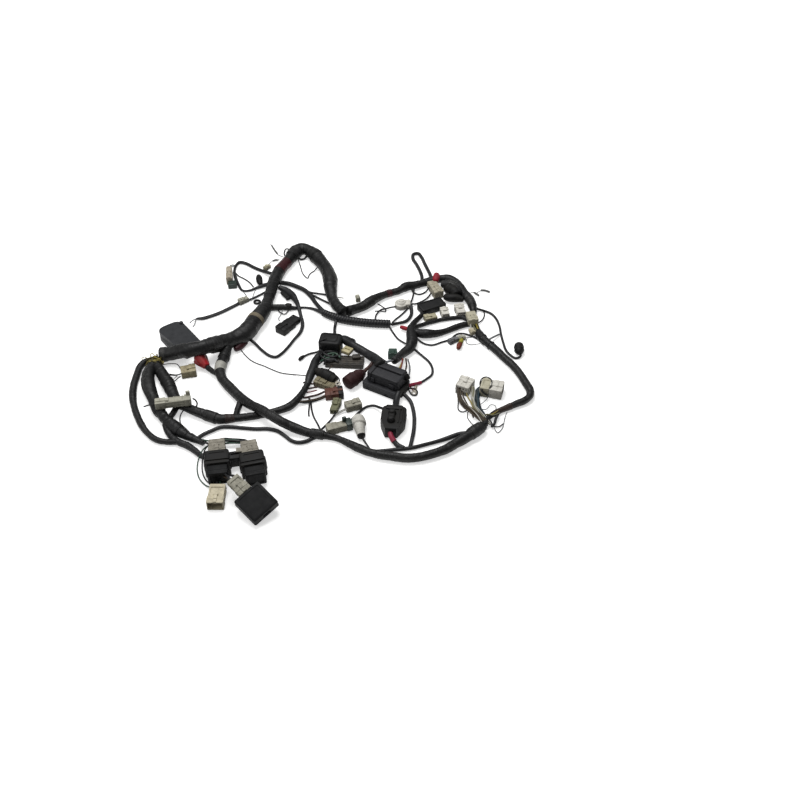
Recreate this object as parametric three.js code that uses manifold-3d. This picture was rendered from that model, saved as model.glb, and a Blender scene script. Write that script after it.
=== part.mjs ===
// Wiring harness of a small motorcycle, laid out flat as it comes off the frame. Millimetres, +Z up.
// Its bundles lie on the ground plane z = 0, and the origin is under the middle of the whole loom.
import * as THREE from "three";
import { mergeVertices } from "three/addons/utils/BufferGeometryUtils.js";
import Module from "manifold-3d";

const wasm = await Module();
wasm.setup();

// Clearance between pieces that touch
const gap = 0.3;

// How finely a bundle is drawn: ring spacing in diameters, and sides of its section
const ringSpacing = 1.25;
const shortestRing = 9;
const thickSides = 10;
const thinSides = 8;
const thinRadius = 4.6;

// Moulded housings
const housingChamfer = 1.2;
const socketWall = 1.6;
const socketDepth = 15;
const latchWidth = 5;
const latchHeight = 2.2;
const collarStep = 0.8;

// Sealed igniter box
const igniterHeight = 16;
const igniterTurn = 37;

// Relays in their rubber mounts
const relayWidth = 28;
const relayLength = 44;
const relayHeight = 22;
const relayMountLength = 27;
const relayMountWall = 3;
const relayPlugWidth = 24;
const relayPlugLength = 27;
const relayPlugLift = 8;
const relayPlugHeight = 15;

// Flat square relay, which leans on its own plug
const squareRelaySide = 42;
const squareRelayThickness = 13;
const squareRelayTilt = 20;
const squarePlugLength = 28;
const squarePlugWidth = 20;
const squarePlugHeight = 12;

// Fuse box
const fuseBoxTurn = -30;
const fuseBaseLength = 62;
const fuseBaseWidth = 40;
const fuseBaseHeight = 13;
const fuseLidLength = 54;
const fuseLidWidth = 33;
const fuseLidHeight = 16;
const fuseLidBack = 4;

// Starter relay and the rubber cover on its studs
const starterHeight = 20;
const starterCoverHeight = 8;
const starterStudRadius = 6.5;
const starterStudSpacing = 15;

// Central block with its carrier plate
const blockWidth = 35;
const blockDepth = 29;
const blockHeight = 30;
const plateWidth = 60;
const plateDepth = 22;
const plateHeight = 9;

// Routes: each point is x, y, height of the centre and radius there, chosen by hand along the loom
const rearTrunk = [
  [-272, 14.5, 12.2, 11.8], [-259, 16, 13.5, 11.5], [-241, 13, 20, 11.3], [-222, 9, 27.5, 11.3],
  [-205, 11.5, 29.5, 11.5], [-190, 21, 27, 11.5], [-176, 38, 19, 12.5], [-161, 52, 14.5, 13.5],
  [-146, 65, 14, 14.5], [-137, 82, 14.5, 14.5], [-130, 103, 14.5, 14], [-122, 125, 13, 13],
  [-117, 150, 11, 10], [-115, 177, 10, 8.5], [-113, 200, 10, 9], [-110, 223, 10, 10.5],
  [-106, 244, 10, 10.5], [-99, 264, 10, 9.5], [-90, 284, 10, 9.5], [-84, 301, 10, 10.5],
  [-76, 313, 10.5, 11], [-65, 315, 10.5, 10.5], [-54, 305, 10.5, 10.5], [-42, 287, 11, 11.5],
  [-31, 267, 11, 11], [-20, 240, 12, 11.5], [-15, 214, 12.5, 12.5], [-13, 189, 11.5, 10.5],
  [-8, 165, 10, 8.5], [1, 142, 11, 9], [14, 124, 13, 10],
];
const frontTrunk = [
  [17, 128, 12, 9], [28, 138, 9, 8], [41, 146, 8.5, 8], [54, 158, 9, 8.5],
  [65, 171, 8, 7], [84, 185, 7, 6], [101, 193, 7, 6], [114, 204, 7.5, 7],
  [130, 210, 7, 6], [147, 217, 7, 6.5], [161, 223, 8, 7], [175, 227, 8, 7],
  [187, 226, 8, 7.5], [198, 216, 8, 7.5], [207, 200, 8, 7.5], [214, 181, 8, 7],
  [222, 162, 8, 7], [225, 144, 7, 6.5], [226, 131, 4.5, 4.5], [227, 110, 4, 4],
  [230, 88, 4.5, 4],
];
const rightTrunk = [
  [230.5, 87, 4.5, 4.5], [232, 75, 5.5, 6], [241, 56, 6.5, 6.5], [253, 38, 6.5, 6.5], [265, 19, 6.3, 6.5],
  [278, -2, 6.3, 6], [288, -23, 6.3, 6], [295, -44, 6.3, 6], [300, -61, 6, 6],
  [298, -74, 6, 5.5], [289, -84, 5.8, 5.5], [276, -91, 5.5, 5], [265, -97, 5.2, 4.5],
  [252, -104, 4.5, 4], [238, -115, 4.5, 4], [230, -126, 5.5, 4], [227, -138, 7, 4.5],
];
const lowerTrunk = [
  [226, -139, 8, 6.5], [215, -150, 8.7, 8.5], [198, -165, 8, 8], [184, -176, 7.2, 7],
  [168, -188, 7, 7], [150, -197, 6.8, 6.5], [132, -203, 6.8, 6.5], [112, -205, 6.8, 6.5],
  [93, -202, 6.8, 6.5], [75, -198, 6.7, 6.5], [59, -192, 6.2, 6], [45, -184, 6.2, 6],
  [30, -174, 5.8, 5.5], [15, -164, 5, 4.5], [2, -160, 5.5, 5], [-12, -157, 6.6, 6.5],
  [-27, -154, 6.6, 6.5], [-41, -149, 8, 7], [-56, -144, 12, 7], [-69, -140, 17, 7],
  [-83, -130, 18.5, 7], [-97, -117, 17, 7], [-114, -102, 12.5, 7], [-130, -85, 9, 7.5],
  [-144, -68, 7.8, 7.5], [-156, -52, 7.8, 7.5], [-167, -36, 8.2, 7.5], [-173, -18, 8.8, 8],
  [-172, -2, 9.5, 8.5], [-170, 13, 10, 8], [-168, 28, 11, 7.5], [-166, 39, 13, 6.5],
];
const redBranch = [
  [-173, -28, 8, 4], [-184, -18, 7, 4], [-195, -6, 7, 4.5], [-202, 5, 8.5, 5],
  [-208, 14, 12, 6.5], [-209, 18, 18, 7],
];
const middleBundle = [
  [-274, -3, 9, 7], [-265, -19, 9, 8.5], [-253, -39, 9, 9], [-242, -60, 9, 9],
  [-232, -80, 8.5, 8.5], [-220, -95, 8, 7.5], [-207, -103, 7.5, 7], [-191, -112, 7.5, 7.5],
  [-174, -120, 7.5, 7.5], [-158, -126, 7.6, 7.5], [-144, -124, 6.8, 6.5], [-130, -121, 6, 5.5],
  [-114, -118, 5.6, 5.5], [-99, -114, 5.3, 5.5], [-84, -109, 5.3, 5.5], [-72, -104, 5.6, 5.5],
  [-59, -96, 6, 6], [-50, -83, 6, 5.5], [-42, -64, 5.5, 5], [-37, -47, 5.5, 4.5],
];
const dropLink = [
  [-134, -78, 6, 4.5], [-134, -90, 5, 5], [-136, -104, 5, 4.5], [-136, -120, 6, 4.5],
];
const crossLink = [
  [-223, -89, 8, 4.5], [-226, -99, 7, 4.5], [-229, -112, 7, 4.5], [-233, -126, 8, 4.5],
];
const outerLeft = [
  [-280, 6, 9, 4.5], [-291, 6, 7, 5], [-298, -3, 5.5, 5.5], [-300, -24, 5.2, 5.5],
  [-300, -48, 5.2, 5.5], [-297, -71, 5.2, 5.5], [-291, -93, 5.2, 5], [-282, -115, 5.2, 5],
  [-271, -136, 5, 5], [-258, -154, 4.8, 4.5], [-244, -166, 4.5, 4.5], [-230, -170, 4.3, 4],
  [-217, -171, 5, 4], [-208, -171, 6, 4],
];
const innerLeft = [
  [-277, -3, 9, 7], [-281, -21, 9, 9], [-279, -41, 9.7, 10], [-272, -64, 9.7, 10],
  [-262, -86, 8.7, 8.5], [-252, -106, 8, 8], [-239, -125, 8.2, 8], [-224, -142, 8.4, 8.5],
  [-209, -155, 7.8, 8], [-197, -163, 6, 5.5], [-184, -169, 5, 4.5], [-175, -175, 6, 4],
];
const relayLead = [
  [-237, -136, 7, 4.5], [-231, -149, 6, 5], [-223, -161, 5.5, 5], [-211, -172, 5.5, 5],
  [-199, -178, 5, 5], [-186, -188, 4.6, 4.5], [-173, -200, 5, 4], [-158, -203, 8, 4],
];
const frontLink = [
  [-189, -168, 5, 3], [-180, -155, 3.3, 3], [-168, -146, 3.3, 3], [-156, -139, 3.3, 3],
  [-143, -138, 3, 3], [-124, -140, 2.9, 3], [-105, -142, 2.9, 3], [-89, -142, 2.9, 3],
  [-74, -146, 2.9, 3], [-61, -157, 2.9, 3], [-52, -166, 2.9, 3], [-42, -170, 2.9, 3],
  [-30, -168, 3, 3], [-21, -162, 3.5, 3], [-12, -158, 5, 3],
];
const parallelLead = [
  [67, -190, 5, 2.5], [83, -186, 2.8, 2.5], [101, -184, 2.9, 3], [120, -181, 2.9, 3],
  [138, -175, 3, 3], [157, -168, 3.1, 3], [174, -161, 3.5, 3.5], [190, -154, 4.5, 3.5],
  [202, -155, 7, 3.5],
];
const solenoidTail = [
  [90, -154, 12, 3], [91, -164, 10, 3], [95, -171, 7, 3.5], [101, -177, 4, 4], [111, -183, 3.6, 3.5],
];
const sideLead = [
  [118, -181, 3, 3], [121, -165, 2.9, 3], [124, -144, 2.9, 3], [125, -119, 2.9, 3],
  [123, -97, 2.9, 3], [119, -81, 3, 3], [112, -72, 5, 3], [105, -65, 7, 3],
];
const conduit = [
  [-23, 133, 6, 5.5], [-11, 124, 6.5, 6], [2, 117, 6.8, 6.5], [17, 111, 6.9, 6.5],
  [34, 107, 6.9, 6.5], [52, 104, 6.9, 6.5], [71, 102, 6.9, 6.5], [89, 101, 6.9, 6.5],
];
const horizontalLead = [
  [-128, 135, 12, 5], [-118, 144, 7, 5.5], [-106, 148, 5.4, 5], [-91, 149, 5.1, 5],
  [-79, 148, 4.6, 4.5], [-69, 149, 3, 3], [-56, 152, 2.2, 2], [-43, 149, 2.3, 2.5],
  [-32, 141, 3.5, 3], [-23, 133, 5, 3.5],
];
const upperLead = [
  [-103, 214, 9, 4], [-88, 217, 4.5, 4], [-74, 210, 4.2, 4], [-59, 199, 4.2, 4],
  [-48, 184, 4, 4], [-38, 164, 3.9, 3.5], [-29, 148, 4.3, 3.5], [-20, 134, 5.5, 3.5],
];
const loopLead = [
  [-103, 201, 9, 4], [-90, 196, 5.6, 5.5], [-78, 180, 6.8, 6.5], [-70, 162, 9, 4.5],
  [-65, 147, 10, 3.5], [-60, 128, 6, 3], [-55, 106, 3, 3], [-57, 85, 3, 3],
  [-66, 65, 2.8, 2.5], [-75, 44, 2.7, 2.5], [-83, 30, 2.6, 2.5], [-91, 22, 2.6, 2.5],
  [-101, 25, 2.6, 2.5], [-115, 39, 2.8, 2.5], [-127, 54, 4, 2.5], [-139, 64, 8, 2.5],
];
const ringLead = [
  [-119, 241, 9, 3], [-135, 256, 3.5, 3], [-152, 268, 2.8, 3], [-167, 280, 2.8, 3],
  [-179, 284, 2.8, 3], [-184, 275, 2.8, 2.5], [-185, 257, 2.8, 2.5], [-180, 235, 2.8, 3],
  [-172, 214, 2.8, 2.5], [-164, 200, 2.4, 2], [-153, 200, 2.2, 2], [-142, 206, 2.9, 2.5],
  [-132, 211, 4, 3.5], [-116, 211, 9, 3.5],
];
const longLeftLead = [
  [-116, 194, 9, 2], [-130, 190, 2.6, 2], [-144, 178, 2.1, 2], [-160, 167, 2.1, 2],
  [-176, 152, 2.1, 2], [-193, 137, 2.1, 2], [-208, 127, 2.1, 2], [-220, 121, 2.1, 2],
  [-232, 122, 2.1, 2],
];
const hairpinLead = [
  [140, 213, 7, 2.5], [142, 236, 4, 3], [139, 257, 2.8, 3], [133, 278, 2.8, 3],
  [127, 295, 2.8, 3], [128, 309, 2.8, 3], [136, 312, 2.8, 3], [142, 301, 2.8, 3],
  [148, 278, 2.8, 3], [154, 255, 3.5, 3], [159, 227, 7, 3],
];
const farRightLead = [
  [224, 147, 8, 2.5], [233, 146, 4, 2], [244, 143, 2.2, 2], [255, 135, 2.1, 2],
  [262, 122, 2.1, 2], [266, 103, 2.1, 2], [267, 81, 2.1, 2], [269, 59, 2.1, 2],
  [272, 39, 2.1, 2], [278, 27, 2.1, 2], [285, 20, 2.1, 2], [291, 21, 2.5, 2],
  [295, 27, 4, 2],
];
const fuseBranch = [
  [122, 94, 8, 5.5], [122, 76, 8, 8], [123, 55, 8.4, 9], [119, 38, 8, 8],
  [109, 24, 8.5, 7], [101, 6, 14, 6], [95, -10, 21, 5.5],
];
const rightLead1 = [
  [122, 92, 8, 5], [129, 109, 6, 4.5], [137, 123, 5, 4], [145, 135, 5, 4],
];
const rightLead2 = [
  [125, 89, 8, 4], [138, 100, 5, 3.5], [155, 110, 3.8, 3.5], [173, 117, 3.7, 3.5],
  [191, 121, 3.7, 3.5], [206, 122, 4, 3.5], [215, 115, 4.5, 3.5], [225, 107, 4.5, 3.5],
];
const rightLead3 = [
  [125, 81, 8, 5], [136, 76, 7.3, 7], [149, 74, 8, 7.5], [162, 77, 6.3, 6],
  [177, 84, 5.2, 5], [192, 93, 5.2, 5], [205, 100, 5.2, 5], [216, 103, 4.5, 4],
  [226, 99, 4.5, 3.5],
];
const batteryLead = [
  [123, 40, 8, 2], [131, 34, 4, 2], [140, 24, 2.2, 2], [149, 11, 2.2, 2],
  [154, -4, 2.2, 2], [153, -20, 2.2, 2], [145, -30, 2.2, 2], [135, -39, 2.2, 2],
  [125, -45, 4, 2], [115, -52, 7, 2],
];
const conduitLead = [
  [89, 102, 5, 2.5], [102, 109, 2.8, 2.5], [114, 114, 2.9, 3], [122, 129, 2.9, 3],
  [123, 144, 4, 3], [122, 155, 6, 3],
];
const solenoidCable = [
  [32, -129, 7, 2], [38, -116, 4, 2], [46, -103, 2.4, 2], [54, -94, 2.4, 2],
  [64, -93, 4, 2], [73, -100, 7, 2], [81, -110, 12, 2], [87, -120, 13, 2],
];
const blockToFuse = [
  [6, 47, 24, 4.5], [16, 44, 19, 6], [27, 40, 14, 6.5], [39, 32, 11, 7],
  [52, 23, 9, 7], [64, 7, 13, 7.5], [73, -9, 19, 7], [81, -21, 24, 5.5],
];
const waLeadLeft = [
  [191, -56, 14, 2], [192, -66, 9, 2.5], [194, -79, 5, 3], [201, -93, 4, 3.5],
  [210, -103, 4, 3.5], [220, -117, 5, 4], [227, -133, 7, 4],
];
const waLeadRight = [
  [213, -58, 12, 2.5], [214, -68, 7, 2.5], [213, -80, 4, 2.5], [215, -96, 4, 3],
  [222, -112, 5, 3],
];
const wbLead = [
  [229, -57, 9, 3], [222, -62, 7, 3], [219, -73, 5, 3.5], [220, -85, 4, 3.5], [221, -99, 4, 3.5],
  [227, -117, 5, 3],
];
const twinLead = [
  [-11, -150, 7, 2.5], [-5, -136, 3, 2.5], [2, -124, 2.6, 2.5], [8, -112, 4, 2], [9, -103, 5, 2],
];
const paleBranch = [
  [4, -119, 2.6, 1.5], [11, -110, 2.6, 1.5], [18, -104, 3, 1.5], [27, -100, 5, 1.5],
];
const bulbWire = [
  [49, -161, 5, 1.5], [55, -171, 3, 1.5], [60, -181, 3, 1.5], [63, -190, 6, 1.5],
];
const blockSleeve = [
  [-37, -50, 5.5, 4.5], [-36, -44, 6, 5], [-34, -30, 6.8, 6.5], [-30, -11, 7, 7], [-27, 8, 7, 6.5],
  [-21, 20, 8, 6], [-16, 28, 8, 6],
];

// Short round pieces follow the same form as a bundle: centre and radius at each point
const rubberBoot = [
  [48, -21, 7, 5], [43, -28, 9, 8.5], [37, -36, 10.3, 10.3], [30, -44, 11.2, 11.2], [23, -52, 10.8, 10.8],
];
const blackPlug = [
  [-27, -16, 8, 4.5], [-19, -22, 8, 7.5], [-11, -28, 9, 9], [-2, -35, 9, 9], [7, -42, 7.5, 7.5],
];
const bulbHolderBody = [
  [42.5, -125, 9, 8], [44, -134, 9.5, 9.5], [45, -142, 9.3, 9.3], [46.5, -151, 8, 7.6], [49, -161, 7, 6.5],
];
const cylindricalPlug = [
  [183, 201, 9.3, 8.5], [190, 192, 10, 9.6], [197, 184, 10, 9.6], [200, 174, 9.3, 8.8],
];
const endPlugBody = [
  [292, 26, 6, 4.5], [292, 31, 7, 7], [292, 38, 7.5, 7.5], [292.5, 46, 7.2, 7],
];

const relayPlugWires = [
  [-109, -188, 15, 2.5], [-109, -178, 10, 2.5], [-117, -174, 8, 3], [-129, -174, 8, 3],
  [-143, -174, 7, 3], [-156, -175, 6, 3], [-170, -177, 6, 3],
];
const squarePlugWires = [
  [-115, -269, 25, 4], [-122, -262, 25, 4.5], [-128, -255, 22, 4.5], [-136, -246, 17, 4.5],
];
const ivoryWires = [
  [-142.5, -266, 7, 4], [-143, -258, 7, 4], [-145, -248, 8, 4],
];
const beigeWires = [
  [-229, -19, 6, 2], [-239, -21, 3, 2], [-248, -22, 4, 2], [-258, -24, 8, 2],
];
const brownWires = [
  [-3, -69, 5, 2.5], [-16, -76, 3, 2.5], [-30, -82, 3.5, 2.5], [-46, -87, 5, 2.5],
];
const bootWire = [
  [46, -23, 8, 3.5], [52, -15, 8, 3], [58, -6, 8, 3], [63, 3, 10, 3],
];
const leftOuterWires = [
  [-193.4, 256, 7, 2], [-195, 266, 4, 2], [-191, 274, 3, 2], [-184.5, 273, 2.8, 2],
];

function plastic(colour, roughness = 0.6) {
  return new THREE.MeshStandardMaterial({ color: colour, roughness, metalness: 0 });
}

const vinylTape = () => plastic(0x24262a, 0.5);
const sleeving = () => plastic(0x2d2f33, 0.45);
const convolutedTube = () => plastic(0x1f2027, 0.4);
const blackNylon = () => plastic(0x2b2c2e, 0.55);
const greyNylon = () => plastic(0x8b8a84, 0.6);
const naturalNylon = () => plastic(0xcdc8b8, 0.55);
const agedNylon = () => plastic(0xa39a80, 0.65);
const oliveNylon = () => plastic(0x4a4a38, 0.6);
const brownNylon = () => plastic(0x6b4a3c, 0.6);
const greenNylon = () => plastic(0x2f4b42, 0.55);
const blackRubber = () => plastic(0x1b1b1c, 0.8);
const redRubber = () => plastic(0x4a2326, 0.75);
const barePlastic = () => plastic(0x55565a, 0.5);

// A three.js geometry as a solid that can be joined and cut
function solidOf(geometry) {
  const bare = geometry.clone();
  bare.deleteAttribute("normal");
  bare.deleteAttribute("uv");
  const merged = mergeVertices(bare, 1e-3);
  return new wasm.Manifold(
    new wasm.Mesh({
      numProp: 3,
      vertProperties: merged.attributes.position.array,
      triVerts: new Uint32Array(merged.index.array),
    }),
  );
}

function geometryOf(solid) {
  const mesh = solid.getMesh();
  const geometry = new THREE.BufferGeometry();
  geometry.setAttribute("position", new THREE.BufferAttribute(mesh.vertProperties, 3));
  geometry.setIndex(new THREE.BufferAttribute(mesh.triVerts, 1));
  geometry.computeVertexNormals();
  return geometry;
}

function joined(geometries) {
  return geometryOf(geometries.map(solidOf).reduce((whole, piece) => whole.add(piece)));
}

function largestBody(solid) {
  return solid.decompose().reduce((best, body) => (body.volume() > best.volume() ? body : best));
}

// Radius along the route, read between its points
function radiusAt(route, curve, share) {
  const place = curve.getUtoTmapping(share) * (route.length - 1);
  const before = Math.min(Math.floor(place), route.length - 2);
  return THREE.MathUtils.lerp(route[before][3], route[before + 1][3], place - before);
}

// A round bundle whose thickness varies along its route; extra thickens and lengthens it all over
function bundle(route, extra = 0) {
  const points = route.map(([x, y, z]) => new THREE.Vector3(x, y, z));
  const last = points.length - 1;
  const startward = points[0].clone().sub(points[1]).setLength(extra);
  const endward = points[last].clone().sub(points[last - 1]).setLength(extra);
  points[0].add(startward);
  points[last].add(endward);
  const curve = new THREE.CatmullRomCurve3(points, false, "centripetal");
  const meanRadius = route.reduce((sum, point) => sum + point[3], 0) / route.length;
  const spacing = Math.max(shortestRing, ringSpacing * 2 * meanRadius);
  const steps = Math.max(3, Math.round(curve.getLength() / spacing));
  const sides = meanRadius < thinRadius ? thinSides : thickSides;
  const section = new THREE.Shape();
  for (let i = 0; i < sides; i++) {
    const angle = (2 * Math.PI * (i + 0.5)) / sides;
    section[i ? "lineTo" : "moveTo"](meanRadius * Math.cos(angle), meanRadius * Math.sin(angle));
  }
  const tube = new THREE.ExtrudeGeometry(section, { steps, extrudePath: curve, bevelEnabled: false });
  const centres = curve.getSpacedPoints(steps);
  const positions = tube.attributes.position;
  const corner = new THREE.Vector3();
  for (let i = 0; i < positions.count; i++) {
    corner.fromBufferAttribute(positions, i);
    const distances = centres.map((centre) => centre.distanceToSquared(corner));
    const ring = distances.indexOf(Math.min(...distances));
    const radius = radiusAt(route, curve, ring / steps) + extra;
    corner.sub(centres[ring]).multiplyScalar(radius / meanRadius).add(centres[ring]);
    positions.setXYZ(i, corner.x, corner.y, corner.z);
  }
  return tube;
}

// A box with cut corners and edges, standing on z = 0 and centred on the z axis
function chamferedPrism(corners, height, chamfer) {
  const outline = new THREE.Shape(corners.map(([x, y]) => new THREE.Vector2(x, y)));
  const prism = new THREE.ExtrudeGeometry(outline, {
    depth: height - 2 * chamfer,
    bevelThickness: chamfer,
    bevelSize: chamfer,
    bevelOffset: -chamfer,
    bevelSegments: 1,
  });
  return prism.translate(0, 0, chamfer);
}

function chamferedBox(width, length, height, chamfer = housingChamfer, corner = chamfer) {
  const x = width / 2;
  const y = length / 2;
  const corners = [
    [-x + corner, -y], [x - corner, -y], [x, -y + corner], [x, y - corner],
    [x - corner, y], [-x + corner, y], [-x, y - corner], [-x, -y + corner],
  ];
  return chamferedPrism(corners, height, chamfer);
}

// A moulded connector housing: wires leave at +y, and the mating end is at -y
function connector(width, length, height, socketed = false) {
  const collar = length * 0.45;
  const body = chamferedBox(width - 2 * collarStep, length, height - collarStep);
  const skirt = chamferedBox(width, collar, height).translate(0, (collar - length) / 2, 0);
  const latch = new THREE.BoxGeometry(latchWidth, collar, latchHeight);
  latch.translate(0, 0, height - latchHeight / 2 + collarStep / 2);
  let solid = [body, skirt, latch].map(solidOf).reduce((whole, piece) => whole.add(piece));
  if (socketed) {
    const socket = new THREE.BoxGeometry(width - 2 * socketWall, socketDepth, height - 2 * socketWall);
    socket.translate(0, (socketDepth - length) / 2 - collarStep, height / 2);
    solid = solid.subtract(solidOf(socket));
  }
  return geometryOf(solid);
}

const harness = new THREE.Group();

// The ground, which bundles lie on and never pass through
const ground = new THREE.BoxGeometry(800, 800, 10).translate(0, 0, -5);
const keepOuts = [["ground", solidOf(ground)]];

function clearOfOthers(solid, name) {
  return keepOuts
    .filter(([owner]) => owner !== name)
    .reduce((rest, [, kept]) => rest.subtract(kept), solid);
}

function addMesh(name, geometry, material) {
  const mesh = new THREE.Mesh(geometry, material);
  mesh.name = name;
  harness.add(mesh);
  return mesh;
}

// Sets a housing in place and keeps the box around it clear of what is laid later
function seat(name, geometry, material, [x, y, z], turn = 0, tilt = 0) {
  const mesh = addMesh(name, geometry, material);
  mesh.position.set(x, y, z);
  mesh.rotation.set(THREE.MathUtils.degToRad(tilt), 0, THREE.MathUtils.degToRad(turn));
  mesh.updateMatrix();
  geometry.computeBoundingBox();
  const size = geometry.boundingBox.getSize(new THREE.Vector3()).addScalar(2 * gap);
  const centre = geometry.boundingBox.getCenter(new THREE.Vector3());
  const around = new THREE.BoxGeometry(size.x, size.y, size.z).translate(centre.x, centre.y, centre.z);
  keepOuts.push([name, solidOf(around.applyMatrix4(mesh.matrix))]);
}

// Lays bundles that are taped into one, cut back from all that already lies there; a housing moulded
// onto them is given in its place
function lay(name, routes, material, housings = []) {
  const pieces = [...routes.map((route) => bundle(route)), ...housings];
  const solid = clearOfOthers(pieces.map(solidOf).reduce((whole, piece) => whole.add(piece)), name);
  addMesh(name, geometryOf(largestBody(solid)), material);
  for (const route of routes) keepOuts.push([name, solidOf(bundle(route, gap))]);
  for (const housing of housings) keepOuts.push([name, solidOf(housing)]);
}

// Gives a housing that is already in place its own wires, cut back from all that lies there
function wire(name, routes, blocks = []) {
  const mesh = harness.getObjectByName(name);
  const wires = [...routes.map((route) => bundle(route)), ...blocks].map(solidOf);
  const trimmed = geometryOf(clearOfOthers(wires.reduce((whole, piece) => whole.add(piece)), name));
  trimmed.applyMatrix4(mesh.matrix.clone().invert());
  mesh.geometry = geometryOf(largestBody(solidOf(mesh.geometry).add(solidOf(trimmed))));
  for (const route of routes) keepOuts.push([name, solidOf(bundle(route, gap))]);
}

// Control boxes
// The igniter's far end is nearly half round, and its near left corner is cut back clear of the trunk
const igniterOutline = [
  [21.5, -37], [21.5, 30], [17.5, 38.5], [9, 42], [-7, 42], [-16.5, 38], [-21.5, 28], [-21.5, -16], [-10, -37],
];
seat(
  "igniter_box",
  chamferedPrism(igniterOutline, igniterHeight, 2),
  barePlastic(),
  [-244.7, 55.8, 0],
  igniterTurn,
);
const fuseBase = [83, -47];
const fuseAngle = THREE.MathUtils.degToRad(fuseBoxTurn);
seat(
  "fuse_box_base",
  chamferedBox(fuseBaseLength, fuseBaseWidth, fuseBaseHeight, 2),
  barePlastic(),
  [...fuseBase, 0],
  fuseBoxTurn,
);
seat(
  "fuse_box_lid",
  chamferedBox(fuseLidLength, fuseLidWidth, fuseLidHeight, 2.5),
  barePlastic(),
  [
    fuseBase[0] - fuseLidBack * Math.sin(fuseAngle),
    fuseBase[1] + fuseLidBack * Math.cos(fuseAngle),
    fuseBaseHeight + gap,
  ],
  fuseBoxTurn,
);
seat("central_block", chamferedBox(blockWidth, blockDepth, blockHeight, 3, 5), blackNylon(), [-5, 36, 0], -8);
seat("carrier_plate", chamferedBox(plateWidth, plateDepth, plateHeight), blackNylon(), [18, 7.6, 0], -4);

// Relays: the body stands in its rubber mount, and the plug meets its rear end
function relay(number, x, y, turn) {
  const mount = chamferedBox(
    relayWidth + 2 * relayMountWall,
    relayMountLength,
    relayHeight + 2 * relayMountWall,
    2,
  );
  const body = chamferedBox(relayWidth, relayLength, relayHeight).translate(
    0,
    -(relayLength - relayMountLength) / 2,
    relayMountWall,
  );
  const angle = THREE.MathUtils.degToRad(turn);
  const rear = relayMountLength / 2 + relayPlugLength / 2 + gap;
  seat("relay_" + number, joined([mount, body]), blackRubber(), [x, y, 0], turn);
  seat(
    "relay_" + number + "_plug",
    connector(relayPlugWidth, relayPlugLength, relayPlugHeight),
    naturalNylon(),
    [x - rear * Math.sin(angle), y + rear * Math.cos(angle), relayPlugLift],
    turn,
  );
}
relay(1, -148, -222, 9);
relay(2, -99, -224, 15);

// Square relay and its plug are tilted together about the x axis
const squareTurn = 45;
const squareReach = (squareRelaySide / Math.SQRT2) * Math.sin(THREE.MathUtils.degToRad(squareRelayTilt));
const squareCentre = new THREE.Vector3(-86, -296, squareReach);
const tiltTurn = new THREE.Matrix4().makeRotationX(THREE.MathUtils.degToRad(squareRelayTilt));
seat(
  "square_relay",
  chamferedBox(squareRelaySide, squareRelaySide, squareRelayThickness),
  blackNylon(),
  squareCentre.toArray(),
  squareTurn,
  squareRelayTilt,
);
const plugOffset = (squareRelaySide + squarePlugLength) / 2 + gap;
const plugPlace = new THREE.Vector3(-plugOffset * Math.SQRT1_2, plugOffset * Math.SQRT1_2, 0)
  .applyMatrix4(tiltTurn)
  .add(squareCentre);
seat(
  "square_relay_plug",
  connector(squarePlugWidth, squarePlugLength, squarePlugHeight),
  greyNylon(),
  plugPlace.toArray(),
  squareTurn,
  squareRelayTilt,
);

// Starter relay in its rubber holder, whose cover rises over its two studs
const starterOutline = [
  [-9, -25], [7, -25], [16, -8], [18, 21], [14, 25], [-13, 25], [-17, 20], [-17, -6],
];
const starterHolder = chamferedPrism(starterOutline, starterHeight, 3);
const studCovers = [-0.5, 0.5].map((side) =>
  new THREE.CylinderGeometry(starterStudRadius * 0.7, starterStudRadius, starterCoverHeight, 10)
    .rotateX(Math.PI / 2)
    .translate(-2, side * starterStudSpacing, starterHeight + starterCoverHeight / 2 - 1),
);
seat("starter_relay", joined([starterHolder, ...studCovers]), blackRubber(), [94, -134.5, 0], -6);

// Plain connectors: name, width, length, height, material, place, turn of the wire end from +y
const connectors = [
  ["grey_inline_connector", 14, 38, 12, greyNylon, [16, -141, 0], -70],
  ["long_inline_connector", 13, 52, 12, agedNylon, [-228, -105, 16.2], -79],
  ["green_connector", 15, 15, 12, greenNylon, [92.5, 26, 0], 0],
  ["brown_connector", 18, 27, 12, brownNylon, [5, -68, 0], 100],
  ["pale_connector", 16, 24, 12, naturalNylon, [34.5, -94, 0], 112],
  ["right_ivory_connector", 17, 36, 14, agedNylon, [163.8, 197.2, 0], 21],
  ["upper_white_connector", 14, 19, 12, naturalNylon, [178, 132, 0], 190],
  ["middle_white_connector", 16, 24, 12, naturalNylon, [203.5, 139, 0], 190],
  ["front_white_connector", 17, 25, 11, naturalNylon, [221, 107, 9.3], 10],
];
for (const [name, width, length, height, material, place, turn] of connectors) {
  seat(name, connector(width, length, height), material(), place, turn);
}

// Open connectors, whose sockets face away from their wires
const openConnectors = [
  ["lower_ivory_connector", 23, 35, 15, naturalNylon, [-142.5, -278.5, 0], 0],
  ["beige_connector", 19, 23, 13, agedNylon, [-221.5, -17, 0], 105],
  ["white_connector_left", 23, 24, 18, naturalNylon, [202, -54, 0], 153],
  ["white_connector_right", 25, 34, 17, naturalNylon, [242.2, -60, 0], 75],
];
for (const [name, width, length, height, material, place, turn] of openConnectors) {
  seat(name, connector(width, length, height, true), material(), place, turn);
}

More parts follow.
